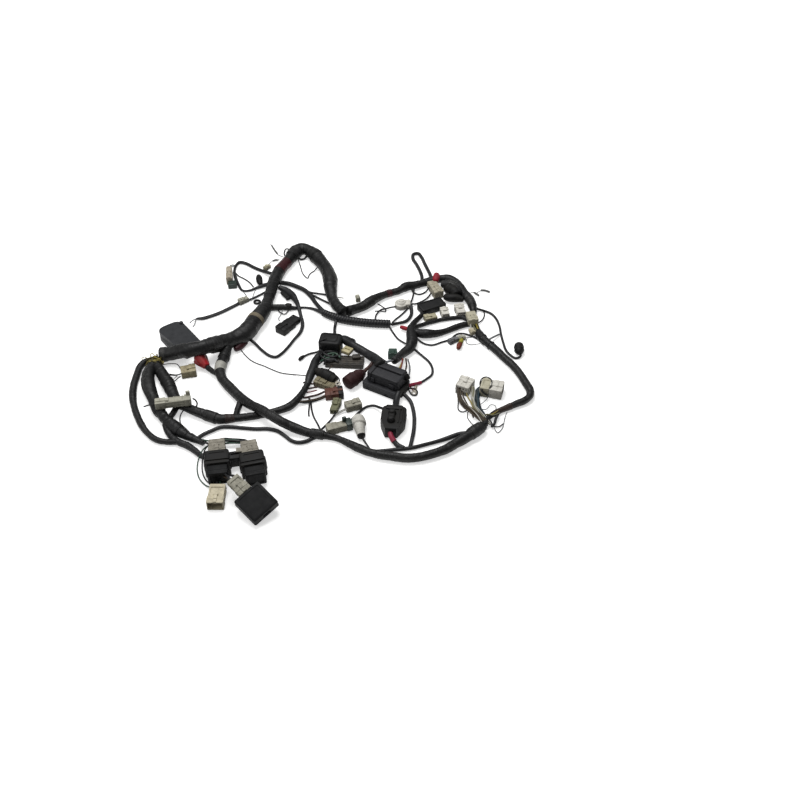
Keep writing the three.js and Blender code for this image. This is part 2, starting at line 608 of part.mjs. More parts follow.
// Outermost connector on the left, with the smaller one clipped across its wire end
const crossConnector = connector(15, 14, 9).translate(4.5, -25, 0);
seat("left_outer_connector", joined([connector(11, 38, 14), crossConnector]), agedNylon(), [-191, 239, 0], 8);
seat("flat_module", chamferedBox(44, 23, 12, 1.5), blackNylon(), [156.5, 150, 0], 27);
const matedHalves = [
  connector(20, 30, 12),
  chamferedBox(16, 16, 10).translate(0, 20, 1),
];
seat("mated_connectors", joined(matedHalves), blackNylon(), [-81.5, 95, 0], -36);
const capOutline = [[0, 0], [9, 0], [11, 2], [11, 8], [8, 12], [3, 13.5], [0, 13.5]];
const cap = new THREE.LatheGeometry(
  capOutline.map(([radius, height]) => new THREE.Vector2(radius, height)),
  16,
).rotateX(Math.PI / 2);
const capNeck = chamferedBox(9, 14, 10).translate(11, 0, 0);
seat("round_cap_connector", joined([cap, capNeck]), naturalNylon(), [106, 157, 0]);

// Round rubber and plastic pieces
lay("rubber_boot", [rubberBoot], redRubber());
lay("black_plug", [blackPlug], blackRubber());
lay("bulb_holder", [bulbHolderBody, bulbWire], naturalNylon());
lay("cylindrical_plug", [cylindricalPlug], blackRubber());
lay("end_plug", [endPlugBody], blackNylon());

// Main bundles
lay("rear_trunk", [rearTrunk], vinylTape());
lay("front_trunk", [frontTrunk], vinylTape());
lay("right_trunk", [rightTrunk], vinylTape());
lay("lower_trunk", [lowerTrunk, redBranch], vinylTape());
lay("middle_bundle", [middleBundle, dropLink, crossLink], vinylTape());
lay("inner_left_bundle", [innerLeft, relayLead], vinylTape());
lay("outer_left_lead", [outerLeft], vinylTape());
lay("junction_branches", [fuseBranch, rightLead1, rightLead2, rightLead3], vinylTape());
lay("block_sleeve", [blockSleeve], sleeving());
lay("block_to_fuse_bundle", [blockToFuse], sleeving());
lay("corrugated_conduit", [conduit], convolutedTube());

// Leads
lay("parallel_lead", [parallelLead, solenoidTail], sleeving());
lay("side_lead", [sideLead], sleeving());
lay("front_link_lead", [frontLink], sleeving());
lay("loop_lead", [loopLead], sleeving());
lay("upper_lead", [upperLead], sleeving());
lay("horizontal_lead", [horizontalLead], sleeving());
lay("ring_lead", [ringLead], sleeving());
lay("long_left_lead", [longLeftLead], sleeving());
lay("hairpin_lead", [hairpinLead], sleeving());
lay("far_right_lead", [farRightLead], sleeving());
lay("battery_lead", [batteryLead], sleeving());
lay("conduit_lead", [conduitLead], sleeving());
lay("starter_relay_lead", [solenoidCable], sleeving());
lay("white_connector_leads", [waLeadLeft, waLeadRight, wbLead], sleeving());
const oliveHousing = connector(13, 26, 10)
  .rotateZ(THREE.MathUtils.degToRad(168))
  .translate(8.5, -95, 0);
lay("olive_connector", [twinLead, paleBranch], oliveNylon(), [oliveHousing]);

// Wires of the housings that no bundle ends at, and the strap that joins the two relay mounts
const relayStrap = chamferedBox(30, 15, 18).translate(-121, -211, 3);
wire("relay_1", [], [relayStrap]);
wire("relay_2_plug", [relayPlugWires]);
wire("square_relay_plug", [squarePlugWires]);
wire("lower_ivory_connector", [ivoryWires]);
wire("beige_connector", [beigeWires]);
wire("brown_connector", [brownWires]);
wire("rubber_boot", [bootWire]);
wire("left_outer_connector", [leftOuterWires]);

export default harness;
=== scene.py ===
"""Wiring harness of a small motorcycle, dressed for the camera: taped bundles, leads and moulded pieces."""

import math

import bpy
import numpy as np
from mathutils import Matrix, Vector, noise


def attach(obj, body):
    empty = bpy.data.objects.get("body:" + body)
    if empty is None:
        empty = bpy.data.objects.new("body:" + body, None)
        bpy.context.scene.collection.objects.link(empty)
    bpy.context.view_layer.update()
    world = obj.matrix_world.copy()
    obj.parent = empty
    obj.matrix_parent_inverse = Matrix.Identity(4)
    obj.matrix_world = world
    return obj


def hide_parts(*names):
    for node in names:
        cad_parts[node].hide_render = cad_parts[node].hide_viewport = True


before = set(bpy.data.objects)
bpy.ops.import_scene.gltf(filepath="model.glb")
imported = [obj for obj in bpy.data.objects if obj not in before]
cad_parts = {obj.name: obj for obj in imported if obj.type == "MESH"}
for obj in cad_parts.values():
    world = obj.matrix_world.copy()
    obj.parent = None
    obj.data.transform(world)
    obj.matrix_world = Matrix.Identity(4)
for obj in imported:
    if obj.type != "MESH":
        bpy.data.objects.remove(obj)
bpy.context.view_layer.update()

MM = 0.001
BODY = "root"

# The photograph's view: how high it looks down from, and how far from the middle of the loom it stands
VIEW_ELEVATION = math.radians(42)
VIEW_DISTANCE = 1.5
VIEW_TARGET = Vector((0.104, -0.076, 0.0))
LENS_MM = 45
SENSOR_MM = 36


# Routes: x, y, height of the centre and radius at each point, in metres, as in the part's source

REAR_TRUNK = [
    (-0.272, 0.0145, 0.0122, 0.0118), (-0.259, 0.016, 0.0135, 0.0115), (-0.241, 0.013, 0.02, 0.0113),
    (-0.222, 0.009, 0.0275, 0.0113), (-0.205, 0.0115, 0.0295, 0.0115), (-0.19, 0.021, 0.027, 0.0115),
    (-0.176, 0.038, 0.019, 0.0125), (-0.161, 0.052, 0.0145, 0.0135), (-0.146, 0.065, 0.014, 0.0145),
    (-0.137, 0.082, 0.0145, 0.0145), (-0.13, 0.103, 0.0145, 0.014), (-0.122, 0.125, 0.013, 0.013),
    (-0.117, 0.15, 0.011, 0.01), (-0.115, 0.177, 0.01, 0.0085), (-0.113, 0.2, 0.01, 0.009),
    (-0.11, 0.223, 0.01, 0.0105), (-0.106, 0.244, 0.01, 0.0105), (-0.099, 0.264, 0.01, 0.0095),
    (-0.09, 0.284, 0.01, 0.0095), (-0.084, 0.301, 0.01, 0.0105), (-0.076, 0.313, 0.0105, 0.011),
    (-0.065, 0.315, 0.0105, 0.0105), (-0.054, 0.305, 0.0105, 0.0105), (-0.042, 0.287, 0.011, 0.0115),
    (-0.031, 0.267, 0.011, 0.011), (-0.02, 0.24, 0.012, 0.0115), (-0.015, 0.214, 0.0125, 0.0125),
    (-0.013, 0.189, 0.0115, 0.0105), (-0.008, 0.165, 0.01, 0.0085), (0.001, 0.142, 0.011, 0.009),
    (0.014, 0.124, 0.013, 0.01),
]
FRONT_TRUNK = [
    (0.017, 0.128, 0.012, 0.009), (0.028, 0.138, 0.009, 0.008), (0.041, 0.146, 0.0085, 0.008),
    (0.054, 0.158, 0.009, 0.0085), (0.065, 0.171, 0.008, 0.007), (0.084, 0.185, 0.007, 0.006),
    (0.101, 0.193, 0.007, 0.006), (0.114, 0.204, 0.0075, 0.007), (0.13, 0.21, 0.007, 0.006),
    (0.147, 0.217, 0.007, 0.0065), (0.161, 0.223, 0.008, 0.007), (0.175, 0.227, 0.008, 0.007),
    (0.187, 0.226, 0.008, 0.0075), (0.198, 0.216, 0.008, 0.0075), (0.207, 0.2, 0.008, 0.0075),
    (0.214, 0.181, 0.008, 0.007), (0.222, 0.162, 0.008, 0.007), (0.225, 0.144, 0.007, 0.0065),
    (0.226, 0.131, 0.0045, 0.0045), (0.227, 0.11, 0.004, 0.004), (0.23, 0.088, 0.0045, 0.004),
]
RIGHT_TRUNK = [
    (0.2305, 0.087, 0.0045, 0.0045), (0.232, 0.075, 0.0055, 0.006), (0.241, 0.056, 0.0065, 0.0065),
    (0.253, 0.038, 0.0065, 0.0065), (0.265, 0.019, 0.0063, 0.0065), (0.278, -0.002, 0.0063, 0.006),
    (0.288, -0.023, 0.0063, 0.006), (0.295, -0.044, 0.0063, 0.006), (0.3, -0.061, 0.006, 0.006),
    (0.298, -0.074, 0.006, 0.0055), (0.289, -0.084, 0.0058, 0.0055), (0.276, -0.091, 0.0055, 0.005),
    (0.265, -0.097, 0.0052, 0.0045), (0.252, -0.104, 0.0045, 0.004), (0.238, -0.115, 0.0045, 0.004),
    (0.23, -0.126, 0.0055, 0.004), (0.227, -0.138, 0.007, 0.0045),
]
LOWER_TRUNK = [
    (0.226, -0.139, 0.008, 0.0065), (0.215, -0.15, 0.0087, 0.0085), (0.198, -0.165, 0.008, 0.008),
    (0.184, -0.176, 0.0072, 0.007), (0.168, -0.188, 0.007, 0.007), (0.15, -0.197, 0.0068, 0.0065),
    (0.132, -0.203, 0.0068, 0.0065), (0.112, -0.205, 0.0068, 0.0065), (0.093, -0.202, 0.0068, 0.0065),
    (0.075, -0.198, 0.0067, 0.0065), (0.059, -0.192, 0.0062, 0.006), (0.045, -0.184, 0.0062, 0.006),
    (0.03, -0.174, 0.0058, 0.0055), (0.015, -0.164, 0.005, 0.0045), (0.002, -0.16, 0.0055, 0.005),
    (-0.012, -0.157, 0.0066, 0.0065), (-0.027, -0.154, 0.0066, 0.0065), (-0.041, -0.149, 0.008, 0.007),
    (-0.056, -0.144, 0.012, 0.007), (-0.069, -0.14, 0.017, 0.007), (-0.083, -0.13, 0.0185, 0.007),
    (-0.097, -0.117, 0.017, 0.007), (-0.114, -0.102, 0.0125, 0.007), (-0.13, -0.085, 0.009, 0.0075),
    (-0.144, -0.068, 0.0078, 0.0075), (-0.156, -0.052, 0.0078, 0.0075), (-0.167, -0.036, 0.0082, 0.0075),
    (-0.173, -0.018, 0.0088, 0.008), (-0.172, -0.002, 0.0095, 0.0085), (-0.17, 0.013, 0.01, 0.008),
    (-0.168, 0.028, 0.011, 0.0075), (-0.166, 0.039, 0.013, 0.0065),
]
RED_BRANCH = [
    (-0.173, -0.028, 0.008, 0.004), (-0.184, -0.018, 0.007, 0.004), (-0.195, -0.006, 0.007, 0.0045),
    (-0.202, 0.005, 0.0085, 0.005), (-0.208, 0.014, 0.012, 0.0065), (-0.209, 0.018, 0.018, 0.007),
]
MIDDLE_BUNDLE = [
    (-0.274, -0.003, 0.009, 0.007), (-0.265, -0.019, 0.009, 0.0085), (-0.253, -0.039, 0.009, 0.009),
    (-0.242, -0.06, 0.009, 0.009), (-0.232, -0.08, 0.0085, 0.0085), (-0.22, -0.095, 0.008, 0.0075),
    (-0.207, -0.103, 0.0075, 0.007), (-0.191, -0.112, 0.0075, 0.0075), (-0.174, -0.12, 0.0075, 0.0075),
    (-0.158, -0.126, 0.0076, 0.0075), (-0.144, -0.124, 0.0068, 0.0065), (-0.13, -0.121, 0.006, 0.0055),
    (-0.114, -0.118, 0.0056, 0.0055), (-0.099, -0.114, 0.0053, 0.0055), (-0.084, -0.109, 0.0053, 0.0055),
    (-0.072, -0.104, 0.0056, 0.0055), (-0.059, -0.096, 0.006, 0.006), (-0.05, -0.083, 0.006, 0.0055),
    (-0.042, -0.064, 0.0055, 0.005), (-0.037, -0.047, 0.0055, 0.0045),
]
DROP_LINK = [
    (-0.134, -0.078, 0.006, 0.0045), (-0.134, -0.09, 0.005, 0.005), (-0.136, -0.104, 0.005, 0.0045),
    (-0.136, -0.12, 0.006, 0.0045),
]
CROSS_LINK = [
    (-0.223, -0.089, 0.008, 0.0045), (-0.226, -0.099, 0.007, 0.0045), (-0.229, -0.112, 0.007, 0.0045),
    (-0.233, -0.126, 0.008, 0.0045),
]
OUTER_LEFT = [
    (-0.28, 0.006, 0.009, 0.0045), (-0.291, 0.006, 0.007, 0.005), (-0.298, -0.003, 0.0055, 0.0055),
    (-0.3, -0.024, 0.0052, 0.0055), (-0.3, -0.048, 0.0052, 0.0055), (-0.297, -0.071, 0.0052, 0.0055),
    (-0.291, -0.093, 0.0052, 0.005), (-0.282, -0.115, 0.0052, 0.005), (-0.271, -0.136, 0.005, 0.005),
    (-0.258, -0.154, 0.0048, 0.0045), (-0.244, -0.166, 0.0045, 0.0045), (-0.23, -0.17, 0.0043, 0.004),
    (-0.217, -0.171, 0.005, 0.004), (-0.208, -0.171, 0.006, 0.004),
]
INNER_LEFT = [
    (-0.277, -0.003, 0.009, 0.007), (-0.281, -0.021, 0.009, 0.009), (-0.279, -0.041, 0.0097, 0.01),
    (-0.272, -0.064, 0.0097, 0.01), (-0.262, -0.086, 0.0087, 0.0085), (-0.252, -0.106, 0.008, 0.008),
    (-0.239, -0.125, 0.0082, 0.008), (-0.224, -0.142, 0.0084, 0.0085), (-0.209, -0.155, 0.0078, 0.008),
    (-0.197, -0.163, 0.006, 0.0055), (-0.184, -0.169, 0.005, 0.0045), (-0.175, -0.175, 0.006, 0.004),
]
RELAY_LEAD = [
    (-0.237, -0.136, 0.007, 0.0045), (-0.231, -0.149, 0.006, 0.005), (-0.223, -0.161, 0.0055, 0.005),
    (-0.211, -0.172, 0.0055, 0.005), (-0.199, -0.178, 0.005, 0.005), (-0.186, -0.188, 0.0046, 0.0045),
    (-0.173, -0.2, 0.005, 0.004), (-0.158, -0.203, 0.008, 0.004),
]
FRONT_LINK = [
    (-0.189, -0.168, 0.005, 0.003), (-0.18, -0.155, 0.0033, 0.003), (-0.168, -0.146, 0.0033, 0.003),
    (-0.156, -0.139, 0.0033, 0.003), (-0.143, -0.138, 0.003, 0.003), (-0.124, -0.14, 0.0029, 0.003),
    (-0.105, -0.142, 0.0029, 0.003), (-0.089, -0.142, 0.0029, 0.003), (-0.074, -0.146, 0.0029, 0.003),
    (-0.061, -0.157, 0.0029, 0.003), (-0.052, -0.166, 0.0029, 0.003), (-0.042, -0.17, 0.0029, 0.003),
    (-0.03, -0.168, 0.003, 0.003), (-0.021, -0.162, 0.0035, 0.003), (-0.012, -0.158, 0.005, 0.003),
]
PARALLEL_LEAD = [
    (0.067, -0.19, 0.005, 0.0025), (0.083, -0.186, 0.0028, 0.0025), (0.101, -0.184, 0.0029, 0.003),
    (0.12, -0.181, 0.0029, 0.003), (0.138, -0.175, 0.003, 0.003), (0.157, -0.168, 0.0031, 0.003),
    (0.174, -0.161, 0.0035, 0.0035), (0.19, -0.154, 0.0045, 0.0035), (0.202, -0.155, 0.007, 0.0035),
]
SOLENOID_TAIL = [
    (0.09, -0.154, 0.012, 0.003), (0.091, -0.164, 0.01, 0.003), (0.095, -0.171, 0.007, 0.0035),
    (0.101, -0.177, 0.004, 0.004), (0.111, -0.183, 0.0036, 0.0035),
]
SIDE_LEAD = [
    (0.118, -0.181, 0.003, 0.003), (0.121, -0.165, 0.0029, 0.003), (0.124, -0.144, 0.0029, 0.003),
    (0.125, -0.119, 0.0029, 0.003), (0.123, -0.097, 0.0029, 0.003), (0.119, -0.081, 0.003, 0.003),
    (0.112, -0.072, 0.005, 0.003), (0.105, -0.065, 0.007, 0.003),
]
CONDUIT = [
    (-0.023, 0.133, 0.006, 0.0055), (-0.011, 0.124, 0.0065, 0.006), (0.002, 0.117, 0.0068, 0.0065),
    (0.017, 0.111, 0.0069, 0.0065), (0.034, 0.107, 0.0069, 0.0065), (0.052, 0.104, 0.0069, 0.0065),
    (0.071, 0.102, 0.0069, 0.0065), (0.089, 0.101, 0.0069, 0.0065),
]
HORIZONTAL_LEAD = [
    (-0.128, 0.135, 0.012, 0.005), (-0.118, 0.144, 0.007, 0.0055), (-0.106, 0.148, 0.0054, 0.005),
    (-0.091, 0.149, 0.0051, 0.005), (-0.079, 0.148, 0.0046, 0.0045), (-0.069, 0.149, 0.003, 0.003),
    (-0.056, 0.152, 0.0022, 0.002), (-0.043, 0.149, 0.0023, 0.0025), (-0.032, 0.141, 0.0035, 0.003),
    (-0.023, 0.133, 0.005, 0.0035),
]
UPPER_LEAD = [
    (-0.103, 0.214, 0.009, 0.004), (-0.088, 0.217, 0.0045, 0.004), (-0.074, 0.21, 0.0042, 0.004),
    (-0.059, 0.199, 0.0042, 0.004), (-0.048, 0.184, 0.004, 0.004), (-0.038, 0.164, 0.0039, 0.0035),
    (-0.029, 0.148, 0.0043, 0.0035), (-0.02, 0.134, 0.0055, 0.0035),
]
LOOP_LEAD = [
    (-0.103, 0.201, 0.009, 0.004), (-0.09, 0.196, 0.0056, 0.0055), (-0.078, 0.18, 0.0068, 0.0065),
    (-0.07, 0.162, 0.009, 0.0045), (-0.065, 0.147, 0.01, 0.0035), (-0.06, 0.128, 0.006, 0.003),
    (-0.055, 0.106, 0.003, 0.003), (-0.057, 0.085, 0.003, 0.003), (-0.066, 0.065, 0.0028, 0.0025),
    (-0.075, 0.044, 0.0027, 0.0025), (-0.083, 0.03, 0.0026, 0.0025), (-0.091, 0.022, 0.0026, 0.0025),
    (-0.101, 0.025, 0.0026, 0.0025), (-0.115, 0.039, 0.0028, 0.0025), (-0.127, 0.054, 0.004, 0.0025),
    (-0.139, 0.064, 0.008, 0.0025),
]
RING_LEAD = [
    (-0.119, 0.241, 0.009, 0.003), (-0.135, 0.256, 0.0035, 0.003), (-0.152, 0.268, 0.0028, 0.003),
    (-0.167, 0.28, 0.0028, 0.003), (-0.179, 0.284, 0.0028, 0.003), (-0.184, 0.275, 0.0028, 0.0025),
    (-0.185, 0.257, 0.0028, 0.0025), (-0.18, 0.235, 0.0028, 0.003), (-0.172, 0.214, 0.0028, 0.0025),
    (-0.164, 0.2, 0.0024, 0.002), (-0.153, 0.2, 0.0022, 0.002), (-0.142, 0.206, 0.0029, 0.0025),
    (-0.132, 0.211, 0.004, 0.0035), (-0.116, 0.211, 0.009, 0.0035),
]
LONG_LEFT_LEAD = [
    (-0.116, 0.194, 0.009, 0.002), (-0.13, 0.19, 0.0026, 0.002), (-0.144, 0.178, 0.0021, 0.002),
    (-0.16, 0.167, 0.0021, 0.002), (-0.176, 0.152, 0.0021, 0.002), (-0.193, 0.137, 0.0021, 0.002),
    (-0.208, 0.127, 0.0021, 0.002), (-0.22, 0.121, 0.0021, 0.002), (-0.232, 0.122, 0.0021, 0.002),
]
HAIRPIN_LEAD = [
    (0.14, 0.213, 0.007, 0.0025), (0.142, 0.236, 0.004, 0.003), (0.139, 0.257, 0.0028, 0.003),
    (0.133, 0.278, 0.0028, 0.003), (0.127, 0.295, 0.0028, 0.003), (0.128, 0.309, 0.0028, 0.003),
    (0.136, 0.312, 0.0028, 0.003), (0.142, 0.301, 0.0028, 0.003), (0.148, 0.278, 0.0028, 0.003),
    (0.154, 0.255, 0.0035, 0.003), (0.159, 0.227, 0.007, 0.003),
]
FAR_RIGHT_LEAD = [
    (0.224, 0.147, 0.008, 0.0025), (0.233, 0.146, 0.004, 0.002), (0.244, 0.143, 0.0022, 0.002),
    (0.255, 0.135, 0.0021, 0.002), (0.262, 0.122, 0.0021, 0.002), (0.266, 0.103, 0.0021, 0.002),
    (0.267, 0.081, 0.0021, 0.002), (0.269, 0.059, 0.0021, 0.002), (0.272, 0.039, 0.0021, 0.002),
    (0.278, 0.027, 0.0021, 0.002), (0.285, 0.02, 0.0021, 0.002), (0.291, 0.021, 0.0025, 0.002),
    (0.295, 0.027, 0.004, 0.002),
]
FUSE_BRANCH = [
    (0.122, 0.094, 0.008, 0.0055), (0.122, 0.076, 0.008, 0.008), (0.123, 0.055, 0.0084, 0.009),
    (0.119, 0.038, 0.008, 0.008), (0.109, 0.024, 0.0085, 0.007), (0.101, 0.006, 0.014, 0.006),
    (0.095, -0.01, 0.021, 0.0055),
]
RIGHT_LEAD_1 = [
    (0.122, 0.092, 0.008, 0.005), (0.129, 0.109, 0.006, 0.0045), (0.137, 0.123, 0.005, 0.004),
    (0.145, 0.135, 0.005, 0.004),
]
RIGHT_LEAD_2 = [
    (0.125, 0.089, 0.008, 0.004), (0.138, 0.1, 0.005, 0.0035), (0.155, 0.11, 0.0038, 0.0035),
    (0.173, 0.117, 0.0037, 0.0035), (0.191, 0.121, 0.0037, 0.0035), (0.206, 0.122, 0.004, 0.0035),
    (0.215, 0.115, 0.0045, 0.0035), (0.225, 0.107, 0.0045, 0.0035),
]
RIGHT_LEAD_3 = [
    (0.125, 0.081, 0.008, 0.005), (0.136, 0.076, 0.0073, 0.007), (0.149, 0.074, 0.008, 0.0075),
    (0.162, 0.077, 0.0063, 0.006), (0.177, 0.084, 0.0052, 0.005), (0.192, 0.093, 0.0052, 0.005),
    (0.205, 0.1, 0.0052, 0.005), (0.216, 0.103, 0.0045, 0.004), (0.226, 0.099, 0.0045, 0.0035),
]
BATTERY_LEAD = [
    (0.123, 0.04, 0.008, 0.002), (0.131, 0.034, 0.004, 0.002), (0.14, 0.024, 0.0022, 0.002),
    (0.149, 0.011, 0.0022, 0.002), (0.154, -0.004, 0.0022, 0.002), (0.153, -0.02, 0.0022, 0.002),
    (0.145, -0.03, 0.0022, 0.002), (0.135, -0.039, 0.0022, 0.002), (0.125, -0.045, 0.004, 0.002),
    (0.115, -0.052, 0.007, 0.002),
]
CONDUIT_LEAD = [
    (0.089, 0.102, 0.005, 0.0025), (0.102, 0.109, 0.0028, 0.0025), (0.114, 0.114, 0.0029, 0.003),
    (0.122, 0.129, 0.0029, 0.003), (0.123, 0.144, 0.004, 0.003), (0.122, 0.155, 0.006, 0.003),
]
SOLENOID_CABLE = [
    (0.032, -0.129, 0.007, 0.002), (0.038, -0.116, 0.004, 0.002), (0.046, -0.103, 0.0024, 0.002),
    (0.054, -0.094, 0.0024, 0.002), (0.064, -0.093, 0.004, 0.002), (0.073, -0.1, 0.007, 0.002),
    (0.081, -0.11, 0.012, 0.002), (0.087, -0.12, 0.013, 0.002),
]
BLOCK_TO_FUSE = [
    (0.006, 0.047, 0.024, 0.0045), (0.016, 0.044, 0.019, 0.006), (0.027, 0.04, 0.014, 0.0065),
    (0.039, 0.032, 0.011, 0.007), (0.052, 0.023, 0.009, 0.007), (0.064, 0.007, 0.013, 0.0075),
    (0.073, -0.009, 0.019, 0.007), (0.081, -0.021, 0.024, 0.0055),
]
WA_LEAD_LEFT = [
    (0.191, -0.056, 0.014, 0.002), (0.192, -0.066, 0.009, 0.0025), (0.194, -0.079, 0.005, 0.003),
    (0.201, -0.093, 0.004, 0.0035), (0.21, -0.103, 0.004, 0.0035), (0.22, -0.117, 0.005, 0.004),
    (0.227, -0.133, 0.007, 0.004),
]
WA_LEAD_RIGHT = [
    (0.213, -0.058, 0.012, 0.0025), (0.214, -0.068, 0.007, 0.0025), (0.213, -0.08, 0.004, 0.0025),
    (0.215, -0.096, 0.004, 0.003), (0.222, -0.112, 0.005, 0.003),
]
WB_LEAD = [
    (0.229, -0.057, 0.009, 0.003), (0.222, -0.062, 0.007, 0.003), (0.219, -0.073, 0.005, 0.0035),
    (0.22, -0.085, 0.004, 0.0035), (0.221, -0.099, 0.004, 0.0035), (0.227, -0.117, 0.005, 0.003),
]
TWIN_LEAD = [
    (-0.011, -0.15, 0.007, 0.0025), (-0.005, -0.136, 0.003, 0.0025), (0.002, -0.124, 0.0026, 0.0025),
    (0.008, -0.112, 0.004, 0.002), (0.009, -0.103, 0.005, 0.002),
]
PALE_BRANCH = [
    (0.004, -0.119, 0.0026, 0.0015), (0.011, -0.11, 0.0026, 0.0015), (0.018, -0.104, 0.003, 0.0015),
    (0.027, -0.1, 0.005, 0.0015),
]
BULB_WIRE = [
    (0.049, -0.161, 0.005, 0.0015), (0.055, -0.171, 0.003, 0.0015), (0.06, -0.181, 0.003, 0.0015),
    (0.063, -0.19, 0.006, 0.0015),
]
BLOCK_SLEEVE = [
    (-0.037, -0.05, 0.0055, 0.0045), (-0.036, -0.044, 0.006, 0.005), (-0.034, -0.03, 0.0068, 0.0065),
    (-0.03, -0.011, 0.007, 0.007), (-0.027, 0.008, 0.007, 0.0065), (-0.021, 0.02, 0.008, 0.006),
    (-0.016, 0.028, 0.008, 0.006),
]
RUBBER_BOOT = [
    (0.048, -0.021, 0.007, 0.005), (0.043, -0.028, 0.009, 0.0085), (0.037, -0.036, 0.0103, 0.0103),
    (0.03, -0.044, 0.0112, 0.0112), (0.023, -0.052, 0.0108, 0.0108),
]
BLACK_PLUG = [
    (-0.027, -0.016, 0.008, 0.0045), (-0.019, -0.022, 0.008, 0.0075), (-0.011, -0.028, 0.009, 0.009),
    (-0.002, -0.035, 0.009, 0.009), (0.007, -0.042, 0.0075, 0.0075),
]
BULB_HOLDER_BODY = [
    (0.0425, -0.125, 0.009, 0.008), (0.044, -0.134, 0.0095, 0.0095), (0.045, -0.142, 0.0093, 0.0093),
    (0.0465, -0.151, 0.008, 0.0076), (0.049, -0.161, 0.007, 0.0065),
]
CYLINDRICAL_PLUG = [
    (0.183, 0.201, 0.0093, 0.0085), (0.19, 0.192, 0.01, 0.0096), (0.197, 0.184, 0.01, 0.0096),
    (0.2, 0.174, 0.0093, 0.0088),
]
END_PLUG_BODY = [
    (0.292, 0.026, 0.006, 0.0045), (0.292, 0.031, 0.007, 0.007), (0.292, 0.038, 0.0075, 0.0075),
    (0.2925, 0.046, 0.0072, 0.007),
]
RELAY_PLUG_WIRES = [
    (-0.109, -0.188, 0.015, 0.0025), (-0.109, -0.178, 0.01, 0.0025), (-0.117, -0.174, 0.008, 0.003),
    (-0.129, -0.174, 0.008, 0.003), (-0.143, -0.174, 0.007, 0.003), (-0.156, -0.175, 0.006, 0.003),
    (-0.17, -0.177, 0.006, 0.003),
]
SQUARE_PLUG_WIRES = [
    (-0.115, -0.269, 0.025, 0.004), (-0.122, -0.262, 0.025, 0.0045), (-0.128, -0.255, 0.022, 0.0045),
    (-0.136, -0.246, 0.017, 0.0045),
]
IVORY_WIRES = [
    (-0.1425, -0.266, 0.007, 0.004), (-0.143, -0.258, 0.007, 0.004), (-0.145, -0.248, 0.008, 0.004),
]
BEIGE_WIRES = [
    (-0.229, -0.019, 0.006, 0.002), (-0.239, -0.021, 0.003, 0.002), (-0.248, -0.022, 0.004, 0.002),
    (-0.258, -0.024, 0.008, 0.002),
]
BROWN_WIRES = [
    (-0.003, -0.069, 0.005, 0.0025), (-0.016, -0.076, 0.003, 0.0025), (-0.03, -0.082, 0.0035, 0.0025),
    (-0.046, -0.087, 0.005, 0.0025),
]
BOOT_WIRE = [
    (0.046, -0.023, 0.008, 0.0035), (0.052, -0.015, 0.008, 0.003), (0.058, -0.006, 0.008, 0.003),
    (0.063, 0.003, 0.01, 0.003),
]
LEFT_OUTER_WIRES = [
    (-0.1934, 0.256, 0.007, 0.002), (-0.195, 0.266, 0.004, 0.002), (-0.191, 0.274, 0.003, 0.002),
    (-0.1845, 0.273, 0.0028, 0.002),
]


# Small tools

SHARP_EDGE = math.radians(32)


def colour(hex_code):
    """An sRGB hex value as the linear colour that a shader socket takes."""
    channels = [int(hex_code[i : i + 2], 16) / 255 for i in (0, 2, 4)]
    linear = [c / 12.92 if c <= 0.04045 else ((c + 0.055) / 1.055) ** 2.4 for c in channels]
    return (*linear, 1.0)


def deselect():
    bpy.ops.object.select_all(action="DESELECT")


def select_only(*pieces):
    deselect()
    for piece in pieces:
        piece.select_set(True)
    bpy.context.view_layer.objects.active = pieces[0]


def smooth(piece):
    """Smooth shading, but for the edges that are sharper than SHARP_EDGE."""
    select_only(piece)
    bpy.ops.object.shade_smooth_by_angle(angle=SHARP_EDGE)


def in_metres(points):
    """Points in millimetres, with or without a radius at each, as tuples in metres."""
    return [tuple(value * MM for value in point) for point in points]


def finish_piece(piece, name, material, slot, *stands_for):
    """Names a piece, gives it its finish, and puts it in the part in place of its CAD nodes."""
    piece.name = name
    piece.data.name = name
    piece.data.materials.clear()
    piece.data.materials.append(material)
    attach(piece, BODY)
    if stands_for:
        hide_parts(*stands_for)
    return piece


# Materials


def add_node(material, kind, inputs=None, **settings):
    """Adds a node, sets what settings name, and sets or links what inputs name."""
    node = material.node_tree.nodes.new(kind)
    for setting, value in settings.items():
        setattr(node, setting, value)
    for socket, value in (inputs or {}).items():
        if isinstance(value, bpy.types.NodeSocket):
            material.node_tree.links.new(value, node.inputs[socket])
        else:
            node.inputs[socket].default_value = value
    return node


def new_material(name):
    material = bpy.data.materials.new(name)
    material.use_nodes = True
    material.node_tree.nodes.clear()
    return material


def surface(material, base, roughness, bump_height, bump_strength, bump_distance, **plain):
    """Ends a material in one Principled shader; plain holds the values that are the same all over."""
    bump = add_node(
        material,
        "ShaderNodeBump",
        {"Strength": bump_strength, "Distance": bump_distance, "Height": bump_height},
    )
    shader = add_node(
        material,
        "ShaderNodeBsdfPrincipled",
        {"Base Color": base, "Roughness": roughness, "Normal": bump.outputs["Normal"]},
    )
    for socket, value in plain.items():
        shader.inputs[socket.replace("_", " ")].default_value = value
    add_node(material, "ShaderNodeOutputMaterial", {"Surface": shader.outputs["BSDF"]})
    return material


def object_noise(material, size_mm, detail=4.0, roughness=0.6, stretch=(1, 1, 1)):
    """Noise whose blotches are about size_mm across on the piece."""
    place = add_node(material, "ShaderNodeTexCoord")
    mapping = add_node(
        material, "ShaderNodeMapping", {"Vector": place.outputs["Object"], "Scale": stretch}
    )
    texture = add_node(
        material,
        "ShaderNodeTexNoise",
        {
            "Vector": mapping.outputs["Vector"],
            "Scale": 1 / (size_mm * MM),
            "Detail": detail,
            "Roughness": roughness,
        },
    )
    return texture.outputs["Fac"]


